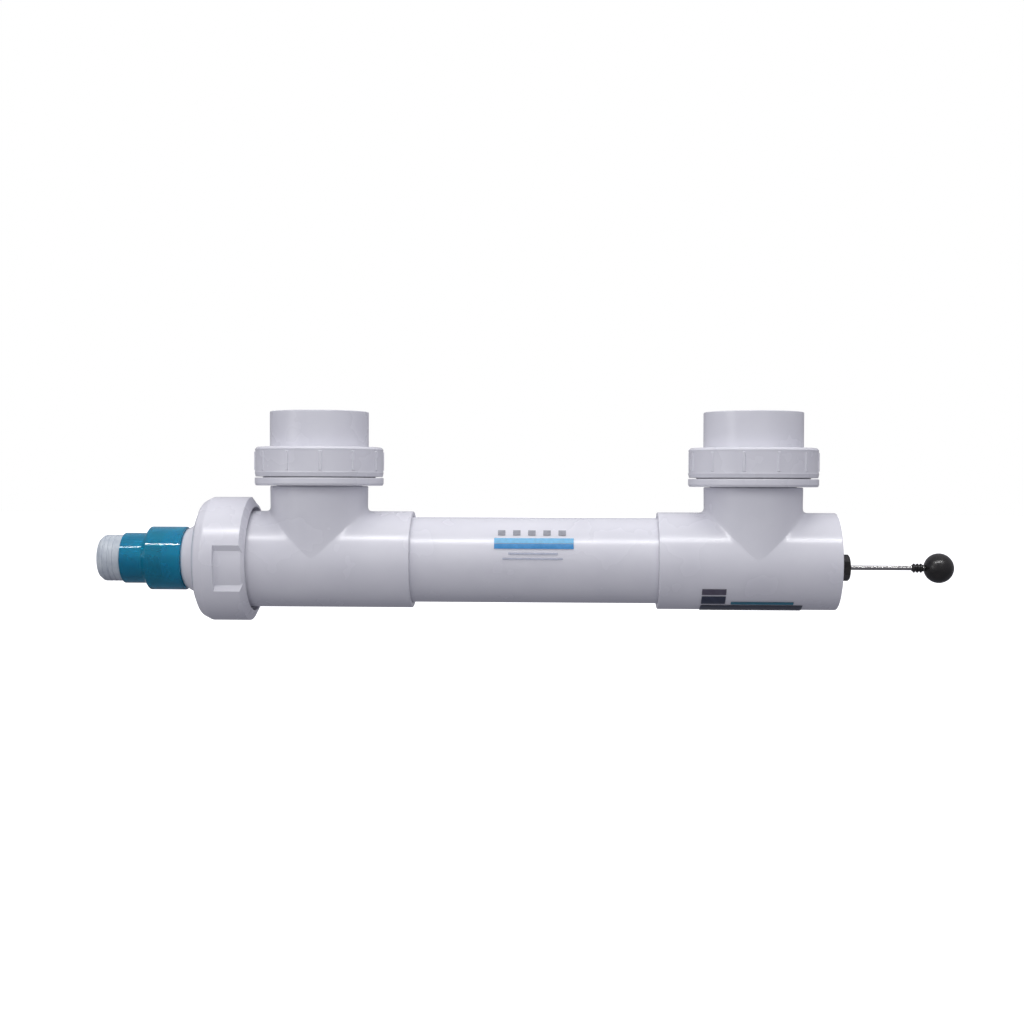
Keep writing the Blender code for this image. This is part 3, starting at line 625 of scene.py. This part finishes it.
def softenCrease(piece, branchAt, low, high):
    # vertices near the line where the branch meets the run move out to a hollow fillet
    mesh = piece.data
    spots = np.empty(len(mesh.vertices) * 3)
    mesh.vertices.foreach_get("co", spots)
    spots = spots.reshape(-1, 3)

    def fields(p):
        run = np.hypot(p[:, 1], p[:, 2])
        branch = np.hypot(p[:, 0], p[:, 1])
        return run, branch, run - hubRadius, branch - branchAt(p[:, 2])
    run, branch, a, b = fields(spots)
    near = (np.minimum(np.abs(a), np.abs(b)) < 5e-5) & (spots[:, 2] > 0)
    near &= (np.maximum(a, b) < tee["crease"]) & (spots[:, 2] < high)
    near &= (spots[:, 0] > low) & (np.maximum(a, b) > -5e-5)
    moved = spots[near]
    for _ in range(8):
        run, branch, a, b = fields(moved)
        zero = np.zeros(len(moved))
        outRun = np.stack([zero, moved[:, 1] / run, moved[:, 2] / run], 1)
        outBranch = np.stack([moved[:, 0] / branch, moved[:, 1] / branch, zero], 1)
        facing = (outRun * outBranch).sum(1)
        reach = np.maximum(tee["crease"] * (1 - facing), 1e-7)
        share = np.clip(1 - np.abs(a - b) / reach, 0, 1)
        level = np.minimum(a, b) - share ** 2 * reach / 4
        weight = np.where(a < b, 1 - share / 2, share / 2)[:, None]
        slope = outRun * weight + outBranch * (1 - weight)
        moved -= level[:, None] * slope / (slope ** 2).sum(1)[:, None]
    spots[near] = moved
    mesh.vertices.foreach_set("co", spots.ravel())
    mesh.update()


def makeTees():
    # modelled as the outlet's tee with its port at the origin, then copied for the inlet
    low, high = teeLow.x - portX, teeHigh.x - portX
    top = teeHigh.z
    stop = bore + pipe["stopRidge"]
    rim = tee["rim"]
    foot = hubRadius - 0.0001
    mouth = teeHigh.y
    draft = (mouth - foot) / top
    run = rounded([(low, 0), (low, hubRadius, rim), (high, hubRadius, rim), (high, 0)])
    piece = lathe("outletTee", divided(run, tee["station"]), sides=tee["sides"])
    branch = rounded([(0, 0), (0, foot), (top, mouth, rim), (top, 0)])
    combine(piece, lathe("branch", divided(branch, tee["station"]), "Z",
                         sides=tee["sides"]), "UNION")
    softenCrease(piece, lambda z: foot + draft * z, low + 0.012, top - 0.004)
    inside = rounded([
        (low - past, 0), (low - past, socket + past), (low, socket + 0.0004),
        (low + 0.0012, socket), (-stop, socket, 0.0004), (-stop, bore, 0.0008),
        (stop, bore, 0.0008), (stop, socket, 0.0004), (high - 0.0012, socket),
        (high, socket + 0.0004), (high + past, socket + past), (high + past, 0)])
    combine(piece, lathe("runBore", inside, sides=128), "DIFFERENCE")
    rise = rounded([
        (0, 0), (0, bore - gap), (stop, bore - gap, 0.0008), (stop, socket, 0.0004),
        (top - 0.0012, socket), (top, socket + 0.0004), (top + past, socket + past),
        (top + past, 0)])
    combine(piece, lathe("branchBore", rise, "Z", sides=128), "DIFFERENCE")
    finishPair(piece, "tee", "whitePvc", crease=26)


makeCenterTube()
makeTees()
print("pipework is done")


union = {
    "flange": 0.0056,         # height of the lower flange
    "threadDepth": 0.0013,
    "lead": 0.0040,
    "threadStart": 0.0025,    # from the flange to the thread's first crest
    "threadTurns": 1.75,
    "groove": 0.0020,
    "tailWall": 0.0045,
    "tailFlange": 0.0057,
    "tailStop": 0.0037,
    "nutWall": 0.0042,
    "nutLip": 0.0042,
    "ribs": 12,
    "ribHalf": 1.5,           # degrees to each side of a rib's middle
    "ribRise": 0.00035,
    "inletTurn": 10.5,        # degrees that each nut stopped at when it was tightened
    "outletTurn": -15.0,
}


def makeUnionBodies():
    low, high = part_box("outlet_union_body")
    flange = high.x - portX
    face = high.z
    foot = teeHigh.z + gap
    top = foot + union["flange"]
    crest = flange - union["nutWall"] - gap
    root = crest - union["threadDepth"]
    middle = (bore + crest) / 2
    groove = union["groove"]
    outline = rounded([
        (low.z, bore, 0.0003), (low.z, pipeRadius, 0.0007), (foot, pipeRadius, 0.0004),
        (foot, flange - 0.0008, 0.0008), (foot + 0.0016, flange, 0.0008), (top, flange, 0.0007),
        (top, root, 0.0005), (face - 0.0012, root, 0.0003), (face, root - 0.0009, 0.0003),
        (face, middle + groove, 0.0002), (face - 2 * groove, middle + groove, 0.0006),
        (face - 2 * groove, middle - groove, 0.0006), (face, middle - groove, 0.0002),
        (face, bore, 0.0006)])
    piece = lathe("outletUnionBody", outline, "Z", sides=144)
    ridge = helix("unionThread", crest, union["threadDepth"], union["lead"],
                  top + union["threadStart"], union["threadTurns"], "Z")
    combine(piece, ridge, "UNION")
    finishPair(piece, "union_body", "whitePvc")


def sealOutline(station, radius, cord):
    # a round cord with the thin flash line that a moulded ring has at its outside
    points = arc((station, radius), cord, 96, 444, 28)
    return points + [Vector((station, radius + cord * 1.03))]


def makeFaceSeals():
    low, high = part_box("outlet_union_seal")
    cord = (high.z - low.z) / 2 / sin(radians(72))    # its arc's points straddle the top
    outline = sealOutline((high.z + low.z) / 2, high.x - portX - cord, cord)
    piece = lathe("outletUnionSeal", outline, "Z", sides=96)
    finishPair(piece, "union_seal", "sealRubber")


def makeTailpieces():
    low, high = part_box("outlet_tailpiece")
    flange = high.x - portX
    tail = socket + union["tailWall"]
    shoulder = low.z + union["tailFlange"]
    stop = low.z + union["tailStop"]
    outline = rounded([
        (low.z, bore, 0.0006), (low.z, flange, 0.0004), (shoulder, flange, 0.0006),
        (shoulder, tail, 0.0008), (high.z, tail, 0.0007), (high.z, socket + 0.0004, 0.0002),
        (high.z - 0.0012, socket), (stop, socket, 0.0004), (stop, bore, 0.0008)])
    piece = lathe("outletTailpiece", divided(outline + outline[:1], 0.004)[:-1], "Z", sides=144)
    finishPair(piece, "tailpiece", "whitePvc", ("inlet_tail", "outlet_tail"))


def selectFaces(piece, test):
    onlySelect(piece)
    for face in piece.data.polygons:
        face.select = test(face)
    for edge in piece.data.edges:
        edge.select = False
    for vertex in piece.data.vertices:
        vertex.select = False
    bpy.ops.object.mode_set(mode="EDIT")
    bpy.ops.mesh.select_mode(type="FACE")


def makeUnionNuts():
    low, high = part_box("outlet_union_nut")
    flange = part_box("outlet_union_body")[1].x - portX
    inside = flange - union["nutWall"]
    hole = socket + union["tailWall"] + gap
    seat = high.z - union["nutLip"]
    grip = (low.z + 0.0042, high.z - 0.0030)
    outline = rounded([
        (low.z, inside, 0.0004), (low.z, flange - 0.0006, 0.0005), (low.z + 0.0030, flange, 0.0004),
        (low.z + 0.0030, flange - 0.0001), (grip[0], flange - 0.0004), (grip[1], flange - 0.0004),
        (high.z - 0.0016, flange - 0.0001, 0.0008), (high.z, flange - 0.0016, 0.0009),
        (high.z, hole, 0.0006), (seat, hole, 0.0002), (seat, inside, 0.0004)])
    piece = lathe("outletUnionNut", outline, "Z", sides=240)
    pitch = 360 / union["ribs"]

    def onRib(face):
        middle = face.center
        if not grip[0] < middle.z < grip[1] or abs(face.normal.z) > 0.1:
            return False
        if hypot(middle.x, middle.y) < flange - 0.001:
            return False
        angle = degrees(atan2(middle.y, middle.x)) % pitch
        return min(angle, pitch - angle) < union["ribHalf"]
    selectFaces(piece, onRib)
    bpy.ops.mesh.inset(thickness=0.0005, depth=0.0004 + union["ribRise"], use_even_offset=False)
    bpy.ops.object.mode_set(mode="OBJECT")
    bevelEdges(piece, 0.00018, 2, 40)
    turns = (radians(union["inletTurn"]), radians(union["outletTurn"]))
    finishPair(piece, "union_nut", "whitePvc", ("inlet_nut", "outlet_nut"), turns)


makeUnionBodies()
makeFaceSeals()
makeTailpieces()
makeUnionNuts()
print("port unions are done")


lampEnd = {
    "lead": 0.0040,
    "threadDepth": 0.0013,
    "threadTurns": 2.0,
    "groove": 0.0020,
    "flange": 0.0057,
    "nutWall": 0.0070,
    "nutLip": 0.0064,
    "nutCorner": 0.0085,
    "nutTaper": 0.0030,
    "pockets": 3,
    "pocketDepth": 0.0029,
    "pocketStart": 0.0171,    # from the nut's face
    "pocketMiddle": 186.8,    # degrees round the axis, from the back towards the top
    "pocketArc": 33.8,        # of its floor
    "pocketSlope": 4.4,       # degrees that each side slopes over
    "coneCollar": 0.0004,
    "cone": 0.0110,
    "nippleLead": 0.0030,
    "nippleTurns": 3.5,
    "nippleDepth": 0.0010,
    "nutRing": 0.0028,        # wall of the quartz nut round the nipple
}


def makeAdapter():
    face, end, crest = adapterLow.x, adapterHigh.x, adapterHigh.z
    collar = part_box("inlet_tee")[0].x - gap
    root = crest - lampEnd["threadDepth"]
    middle = (bore + crest) / 2
    groove = lampEnd["groove"]
    outline = rounded([
        (face, bore, 0.0006), (face, middle - groove, 0.0002),
        (face + 2 * groove, middle - groove, 0.0006), (face + 2 * groove, middle + groove, 0.0006),
        (face, middle + groove, 0.0002), (face, root - 0.0008, 0.0003),
        (face + 0.001, root, 0.0003),
        (collar - 0.0012, root, 0.0003), (collar - 0.0010, crest, 0.0003), (collar, crest, 0.0003),
        (collar, pipeRadius, 0.0004), (end, pipeRadius, 0.0007), (end, bore, 0.0003)])
    piece = lathe("lampEndAdapter", outline, sides=144)
    ridge = helix("adapterThread", crest, lampEnd["threadDepth"], lampEnd["lead"],
                  face + 0.0026, lampEnd["threadTurns"])
    combine(piece, ridge, "UNION")
    finish(piece, "housing", "lamp_end_adapter", "whitePvc")
    low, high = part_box("housing_seal")
    cord = (high.x - low.x) / 2 / sin(radians(72))
    outline = sealOutline((high.x + low.x) / 2, high.z - cord, cord)
    turned("housing_seal", "housing", "sealRubber", outline, sides=96)


def spreadSides(block, middle, half, floor, slope):
    # turns a swept block's sides outward with their distance from the axis
    for vertex in block.data.vertices:
        radius = hypot(vertex.co.y, vertex.co.z)
        angle = atan2(vertex.co.z, vertex.co.y)
        off = (angle - middle + pi) % tau - pi
        off *= 1 + slope * (radius - floor) / half
        vertex.co.y = radius * cos(middle + off)
        vertex.co.z = radius * sin(middle + off)


def makeHousingNut():
    low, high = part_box("housing_nut")
    inside = adapterHigh.z + gap
    body = inside + lampEnd["nutWall"]
    seat = low.x + lampEnd["nutLip"]
    hole = bore + 3 * gap
    corner = lampEnd["nutCorner"]
    slope = high.x - lampEnd["nutTaper"]
    outline = rounded([
        (low.x, hole, 0.0006), (low.x, body - corner, 0.002),
        (low.x + 0.0024, body - 0.0032, 0.004), (low.x + corner, body, 0.004),
        (slope, body, 0.0006), (high.x, inside + 0.0012, 0.0005), (high.x, inside, 0.0003),
        (seat, inside, 0.0004), (seat, hole, 0.0004)])
    piece = lathe("housingNut", divided(outline + outline[:1], 0.003)[:-1], sides=180)
    floor = body - lampEnd["pocketDepth"]
    start = low.x + lampEnd["pocketStart"]
    pocket = rounded([
        (start, floor, 0.0005), (start - 0.0006, body + past), (high.x + past, body + past),
        (high.x + past, floor - 0.0030), (slope + 0.0006, floor, 0.0006)])
    for i in range(lampEnd["pockets"]):
        middle = lampEnd["pocketMiddle"] + i * 360 / lampEnd["pockets"]
        half = lampEnd["pocketArc"] / 2
        block = lathe("pocket", pocket, sides=20, sweep=2 * half, start=middle - half)
        spreadSides(block, radians(middle), half, floor,
                    lampEnd["pocketSlope"] / lampEnd["pocketDepth"])
        combine(piece, block, "DIFFERENCE")
    bevelEdges(piece, 0.00035, 2, 24)
    finish(piece, "collar_nut", "housing_nut", "whitePvc")


def makeEndFitting():
    low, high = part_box("end_fitting")
    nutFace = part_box("housing_nut")[0].x
    shoulder = high.x - lampEnd["flange"]
    coneStart = nutFace - lampEnd["coneCollar"]
    coneEnd = coneStart - lampEnd["cone"]
    collar = bore + 2 * gap
    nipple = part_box("quartz_nut")[1].z - lampEnd["nutRing"] - gap
    root = nipple - lampEnd["nippleDepth"]
    hole = quartzRadius + 2 * gap
    outline = rounded([
        (high.x, bore, 0.0006), (high.x, high.z, 0.0005), (shoulder, high.z, 0.0005),
        (shoulder, collar, 0.0005), (coneStart, collar, 0.0012),
        (coneEnd + 0.0008, nipple + 0.0016, 0.0008),
        (coneEnd, nipple + 0.0008, 0.0003), (coneEnd, root, 0.0004), (low.x + 0.0010, root, 0.0003),
        (low.x, root - 0.0008, 0.0003), (low.x, hole, 0.0004), (coneEnd, hole, 0.0003),
        (shoulder, bore - 0.0045, 0.001)])
    piece = lathe("endFitting", outline, sides=144)
    ridge = helix("nippleThread", nipple, lampEnd["nippleDepth"], lampEnd["nippleLead"],
                  low.x + 0.0022, lampEnd["nippleTurns"])
    combine(piece, ridge, "UNION")
    finish(piece, "lamp_end", "end_fitting", "whitePvc")


makeAdapter()
makeHousingNut()
makeEndFitting()
print("lamp end is done")


lamp = {"neck": 0.0152, "wall": 0.0030, "cableHole": 0.0040, "capLength": 0.0170,
        "grooves": 3, "grooveDepth": 0.00045, "groovePitch": 0.0036, "firstGroove": 0.0052,
        "glassWall": 0.0010, "seat": 0.0075}
lampPins = sorted(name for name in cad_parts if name.startswith("lamp_pin_"))
sleeve = {"wall": 0.0015, "chamfer": 0.0033, "neckWall": 0.0025, "neck": 0.0160}


def makeQuartzSleeve():
    low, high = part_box("quartz_sleeve")
    radius = quartzRadius
    inner = radius - sleeve["wall"]
    center = high.x - radius
    outer = arc((center, 0), radius, 90, 0, 24)
    hollow = arc((center, 0), inner, 0, 90, 24)
    mouth = [Vector((low.x, inner + 0.0003)), Vector((low.x, radius - 0.0003))]
    outline = hollow + [Vector((low.x + 0.0003, inner))] + mouth
    outline += [Vector((low.x + 0.0003, radius))] + outer
    turned("quartz_sleeve", "lamp_end", "fusedQuartz", outline, sides=96)
    low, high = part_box("quartz_seal")
    cord = (high.x - low.x) / 2
    outline = sealOutline((low.x + high.x) / 2, high.z - cord, cord * 0.98)
    turned("quartz_seal", "lamp_end", "sealRubber", outline, sides=96)
    low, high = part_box("thrust_washer")
    outline = tubeOutline(low.x, high.x, radius + gap, high.z, 0.0003, 0.0004)
    turned("thrust_washer", "sleeve_washer", "blackResin", outline, sides=96)


def makeQuartzNut():
    low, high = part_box("quartz_nut")
    wide = high.z
    inside = wide - lampEnd["nutRing"]
    neckStart = low.x + sleeve["neck"]
    step = neckStart + sleeve["chamfer"]
    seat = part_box("thrust_washer")[0].x - gap
    neckHole = lamp["neck"] + gap
    neck = neckHole + sleeve["neckWall"]
    outline = rounded([
        (high.x, inside, 0.0004), (high.x, wide, 0.0007), (step, wide, 0.0012),
        (neckStart, neck, 0.0010), (low.x, neck, 0.0007), (low.x, neckHole, 0.0004),
        (seat, neckHole, 0.0005), (seat, inside, 0.0006)])
    turned("quartz_nut", "sleeve_nut", "tealClear", outline, sides=144)


makeQuartzSleeve()
makeQuartzNut()
print("quartz sleeve and its nut are done")


def makeLampCap():
    low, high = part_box("lamp_cap")
    cap = (high.z - low.z) / 2
    neck = lamp["neck"]
    seat = low.x + lamp["capLength"]
    wall = lamp["wall"]
    hole = lamp["cableHole"]
    corners = [(low.x, hole, 0.0004), (low.x, cap - 0.0028, 0.0016),
               (low.x + 0.0030, cap - 0.0003, 0.0010)]
    for i in range(lamp["grooves"]):
        middle = low.x + lamp["firstGroove"] + i * lamp["groovePitch"]
        corners += [(middle - 0.0007, cap, 0.0003), (middle - 0.0003, cap - lamp["grooveDepth"]),
                    (middle + 0.0003, cap - lamp["grooveDepth"]), (middle + 0.0007, cap, 0.0003)]
    corners += [(seat, cap, 0.0006), (seat, neck, 0.0004), (high.x, neck, 0.0005), (high.x, 0)]
    cavity = seat - wall
    corners = [(cavity, 0), (cavity, cap - wall, 0.0006), (low.x + wall, cap - wall, 0.0006),
               (low.x + wall, hole, 0.0004)] + corners
    piece = lathe("lampCap", rounded(corners), sides=120)
    for name in lampPins:
        pinLow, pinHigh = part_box(name)
        middle = (pinLow + pinHigh) / 2
        radius = (pinHigh.z - pinLow.z) / 2 + gap
        drill(piece, "drill", pinLow.x - gap, pinHigh.x + past, radius, (0, middle.y, middle.z), 24)
    finish(piece, "lamp", "lamp_cap", "capResin")


def makeLampPins():
    for name in lampPins:
        low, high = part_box(name)
        middle = (low + high) / 2
        radius = (high.z - low.z) / 2
        outline = rounded([
            (low.x, 0), (low.x, radius, 0.0008), (high.x, radius, 0.0001), (high.x, 0)], 6)
        turned(name, "lamp", "brass", outline, at=(0, middle.y, middle.z), sides=32)


def makeLampGlass():
    low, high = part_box("lamp_base")
    base = high.z
    glassLow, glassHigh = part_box("lamp_tube")
    glass = glassHigh.z
    seat = lamp["seat"]
    outline = rounded([
        (low.x, 0), (low.x, base, 0.0010), (high.x - 0.0020, base, 0.0003),
        (high.x, base - 0.0006, 0.0003), (high.x, glass + gap, 0.0003),
        (low.x + seat, glass + gap, 0.0003), (low.x + seat, 0)])
    turned("lamp_base", "lamp", "ceramic", outline, sides=72)
    low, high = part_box("lamp_far_cap")
    outline = rounded([
        (high.x, 0), (high.x, base - 0.0015, 0.0015), (high.x - 0.0020, base, 0.0012),
        (low.x, base - 0.0002, 0.0004), (low.x, glass + gap, 0.0003),
        (high.x - seat, glass + gap, 0.0003), (high.x - seat, 0)])
    turned("lamp_far_cap", "lamp", "ceramic", outline, sides=72)
    inner = glass - lamp["glassWall"]
    outline = tubeOutline(glassLow.x, glassHigh.x, inner, glass, 0.0002, 0.0003)
    turned("lamp_tube", "lamp", "lampGlass", outline, sides=72)


makeLampCap()
makeLampPins()
makeLampGlass()
print("lamp is done")


gland = {"web": 0.0080, "boss": 0.0075, "bossWall": 0.0038, "threadLead": 0.00125,
         "threadDepth": 0.0004, "shank": 0.0047, "recess": 0.0010, "recessRim": 0.0030,
         "flats": 0.0159}


def makeEndPlug():
    low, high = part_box("end_plug")
    webFace = high.x - gland["web"]
    outline = rounded([
        (webFace, 0), (webFace, bore, 0.0020), (low.x, bore, 0.0003), (low.x, pipeRadius, 0.0007),
        (high.x, pipeRadius, 0.0006), (high.x, pipeRadius - gland["recessRim"], 0.0003),
        (high.x - gland["recess"], pipeRadius - gland["recessRim"] - 0.0006, 0.0003),
        (high.x - gland["recess"], 0)])
    piece = lathe("endPlug", outline, sides=144)
    packingLow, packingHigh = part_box("gland_packing_1")
    bossEnd = packingLow.x - gland["bossWall"]
    pad = rounded([
        (bossEnd, 0), (bossEnd, gland["boss"], 0.0006), (high.x, gland["boss"], 0.0004),
        (high.x, 0)])
    combine(piece, lathe("boss", pad, at=rodSpot, sides=64), "UNION")
    packing = (packingHigh.z - packingLow.z) / 2 + gap
    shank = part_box("gland_follower")[1].x
    shankRadius = gland["shank"] + gap
    chamber = packingLow.x - gap
    cutTurned(piece, "glandBore", [
        (bossEnd - past, 0), (bossEnd - past, rodHole), (chamber, rodHole), (chamber, packing),
        (shank, packing), (shank, shankRadius), (high.x + past, shankRadius),
        (high.x + past, 0)], rodSpot, 48)
    finish(piece, "housing", "end_plug", "whitePvc")


def makeGland():
    for name in ("gland_packing_1", "gland_packing_2"):
        low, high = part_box(name)
        radius = (high.z - low.z) / 2
        outline = tubeOutline(low.x, high.x, rodHole, radius, 0.0004, 0.0007)
        turned(name, "housing", "sealRubber", outline, at=rodSpot, sides=48)
    low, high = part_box("gland_follower")
    radius = (high.z - low.z) / 2
    outline = rounded([
        (low.x, rodHole, 0.0003), (low.x, radius, 0.0003), (high.x - 0.0012, radius, 0.0002),
        (high.x - 0.0010, radius - 0.0004), (high.x, radius - 0.0004, 0.0002),
        (high.x, rodHole, 0.0003)])
    turned("gland_follower", "follower", "brass", outline, at=rodSpot, sides=48)


def makePackingNut():
    low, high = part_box("packing_nut")
    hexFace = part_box("end_plug")[1].x + gap
    crest = gland["shank"]
    root = crest - gland["threadDepth"]
    across = gland["flats"] / 2 / cos(radians(30))
    nut = hexagon("packingNut", across, hexFace, high.x, 30)
    ball = [(hexFace - 0.0002, 0), (hexFace - 0.0002, across - 0.0010),
            (hexFace + 0.0008, across + 0.0002), (high.x - 0.0009, across + 0.0002),
            (high.x + 0.0001, across - 0.0014), (high.x + 0.0001, 0)]
    combine(nut, lathe("corners", [Vector(p) for p in ball], at=rodSpot, sides=96),
            "INTERSECT")
    bevelEdges(nut, 0.0003, 2, 25)
    shank = [(low.x, 0), (low.x, root - 0.0004), (low.x + 0.0004, root), (hexFace + 0.001, root),
             (hexFace + 0.001, 0)]
    combine(nut, lathe("shank", [Vector(p) for p in shank], at=rodSpot, sides=72),
            "UNION")
    turns = (hexFace - low.x) / gland["threadLead"] - 1.5
    combine(nut, helix("shankThread", crest, gland["threadDepth"], gland["threadLead"],
                       low.x + gland["threadLead"], turns, at=(0, rodSpot[1], rodSpot[2]),
                       sides=36), "UNION")
    cutTurned(nut, "rodHole", [
        (low.x - past, 0), (low.x - past, rodHole), (high.x - 0.0006, rodHole),
        (high.x + past, rodHole + 0.0012), (high.x + past, 0)], rodSpot, 48)
    finish(nut, "gland_nut", "packing_nut", "blackResin")


makeEndPlug()
makeGland()
makePackingNut()
print("end plug and gland are done")


wiper = {"ringWall": 0.0018, "holes": 7, "hole": 0.0032, "ferruleRings": 3, "neckFlat": 0.0028}


def makeRod():
    low, high = rodLow, rodHigh
    radius = high.z - rodSpot[2]
    outline = rounded([
        (low.x, 0), (low.x, radius - 0.0002, 0.0003), (low.x + 0.0004, radius, 0.0002),
        (high.x, radius, 0.0003), (high.x, 0)])
    turned("wiper_rod", "wiper", "drawnSteel", outline, at=rodSpot, sides=48)


def makeKnob():
    low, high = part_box("knob_ferrule")
    radius = (high.z - low.z) / 2
    corners = [(low.x, rodHole, 0.0002), (low.x, radius - 0.0012, 0.0004)]
    length = high.x - low.x
    for i in range(wiper["ferruleRings"]):
        a = low.x + length * (0.10 + 0.30 * i)
        b = a + length * 0.19
        corners += [(a, radius - 0.0008, 0.0002), (a + 0.0003, radius, 0.0003),
                    (b - 0.0003, radius, 0.0003), (b, radius - 0.0008, 0.0002)]
    corners += [(high.x, radius - 0.0008, 0.0003), (high.x, rodHole, 0.0002)]
    turned("knob_ferrule", "wiper", "blackResin", rounded(corners, 3), at=rodSpot, sides=64)
    low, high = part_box("pull_knob")
    ball = high.z - rodSpot[2]
    center = high.x - ball
    mouth = degrees(asin(wiper["neckFlat"] / ball))
    skin = arc((center, 0), ball, 180 - mouth, 0, 40)
    flat = skin[0].x
    boreEnd = rodHigh.x + gap
    outline = [Vector((boreEnd, 0)), Vector((boreEnd, rodHole)), Vector((flat + 0.0003, rodHole)),
               Vector((flat, rodHole + 0.0003)), Vector((flat, wiper["neckFlat"] - 0.0003))] + skin
    turned("pull_knob", "wiper", "blackResin", outline, at=rodSpot, sides=96)


def makeCarriage():
    low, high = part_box("wiper_carriage")
    ringLow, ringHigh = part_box("wiper_ring")
    inner = quartzRadius + gap + wiper["ringWall"] + gap
    outer = (high.y - low.y) / 2
    outline = tubeOutline(low.x, high.x, inner, outer, 0.0004, 0.0008)
    piece = lathe("wiperCarriage", outline, sides=96)
    circle = (inner + outer) / 2
    rodAngle = atan2(rodSpot[2], rodSpot[1])
    for i in range(wiper["holes"] + 1):
        angle = rodAngle + tau * i / (wiper["holes"] + 1)
        place = (0, circle * cos(angle), circle * sin(angle)) if i else rodSpot
        radius = wiper["hole"] if i else rodHole
        drill(piece, "drill", low.x - past, high.x + past, radius, place, 32)
    bevelEdges(piece, 0.00015, 2, 50)
    finish(piece, "wiper", "wiper_carriage", "blackResin")
    lip, groove = quartzRadius + gap, quartzRadius + 0.0009
    edge, back = quartzRadius + 0.0010, ringHigh.z - 0.0001
    lips = [(ringLow.x, edge, 0.0003), (ringLow.x, back, 0.0005), (ringHigh.x, back, 0.0005),
            (ringHigh.x, edge, 0.0003), (ringHigh.x - 0.0010, lip, 0.0003),
            (ringHigh.x - 0.0026, groove, 0.0004), (ringLow.x + 0.0026, groove, 0.0004),
            (ringLow.x + 0.0010, lip, 0.0003)]
    turned("wiper_ring", "wiper", "sealRubber", rounded(lips), sides=96)


def makeLockNuts():
    for name in ("rod_nut_outer", "rod_nut_inner"):
        low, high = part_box(name)
        across = max(high.z - low.z, high.y - low.y) / 2
        nut = hexagon(camel(name), across - 0.0001, low.x, high.x)
        bevelEdges(nut, 0.00025, 2, 25)
        drill(nut, "rodHole", low.x - past, high.x + past, rodHole, rodSpot, 32)
        finish(nut, "wiper", name, "drawnSteel")


makeRod()
makeKnob()
makeCarriage()
makeLockNuts()
print("wiper is done")


blue = (0.015, 0.26, 0.60)
# the blue print painted paler across its upper band, where the highlight streak runs: a painted
# highlight
paintedHighlightBlue = (0.10, 0.46, 0.76)
darkInk = (0.035, 0.045, 0.085)
teal = (0.02, 0.20, 0.30)
grey = (0.33, 0.34, 0.38)
paleGrey = (0.52, 0.55, 0.66)
plum = (0.11, 0.10, 0.14)
film = {"thick": 0.0003, "clear": (0.8, 0.8, 0.84)}
mark = {
    "arc": (132, 200),
    "blocks": [
        (blue, -0.0275, 0.0275, 17.5, 24.5),
        # upper band of the blue print, painted paler as a highlight
        (paintedHighlightBlue, -0.0275, 0.0275, 25.0, 32.5),
        (paleGrey, -0.0175, 0.0165, 10.0, 12.5),
        (paleGrey, -0.0215, 0.0200, 3.5, 5.5),
    ],
    "dashes": {"color": grey, "low": 37, "high": 45, "start": -0.0250, "pitch": 0.0105,
               "length": 0.0050, "count": 5},
}
label = {
    "arc": (211, 261),
    "blocks": [
        (plum, -0.0380, -0.0214, -39.5, -31.0),
        (darkInk, -0.0380, -0.0214, -56.0, -42.0),
        (teal, -0.0174, 0.0257, -57.5, -52.0),
        (darkInk, -0.0380, 0.0323, -80.5, -60.0),
    ],
}


def makeFilm(name, node, look, paint):
    # a thin bent sheet
    low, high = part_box(node)
    reach = 0.0
    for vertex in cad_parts[node].data.vertices:
        reach = max(reach, hypot(vertex.co.y, vertex.co.z))
    first, last = look["arc"]
    inner = reach - film["thick"]
    strip = [Vector((low.x, inner)), Vector((low.x, reach)), Vector((high.x, reach)),
             Vector((high.x, inner))]
    piece = lathe(name, strip, sides=48, sweep=last - first, start=first)
    finish(piece, "housing", node, paint)


dashes = mark["dashes"]
for i in range(dashes["count"]):
    left = dashes["start"] + i * dashes["pitch"]
    mark["blocks"].append((dashes["color"], left, left + dashes["length"], dashes["low"],
                           dashes["high"]))
made["markPrint"] = makePrint("markPrint", mark, 0), "film"
made["labelPrint"] = makePrint("labelPrint", label, portX), "film"
makeFilm("tubeMark", "tube_mark", mark, "markPrint")
makeFilm("ratingLabel", "rating_label", label, "labelPrint")
print("printed film is done")
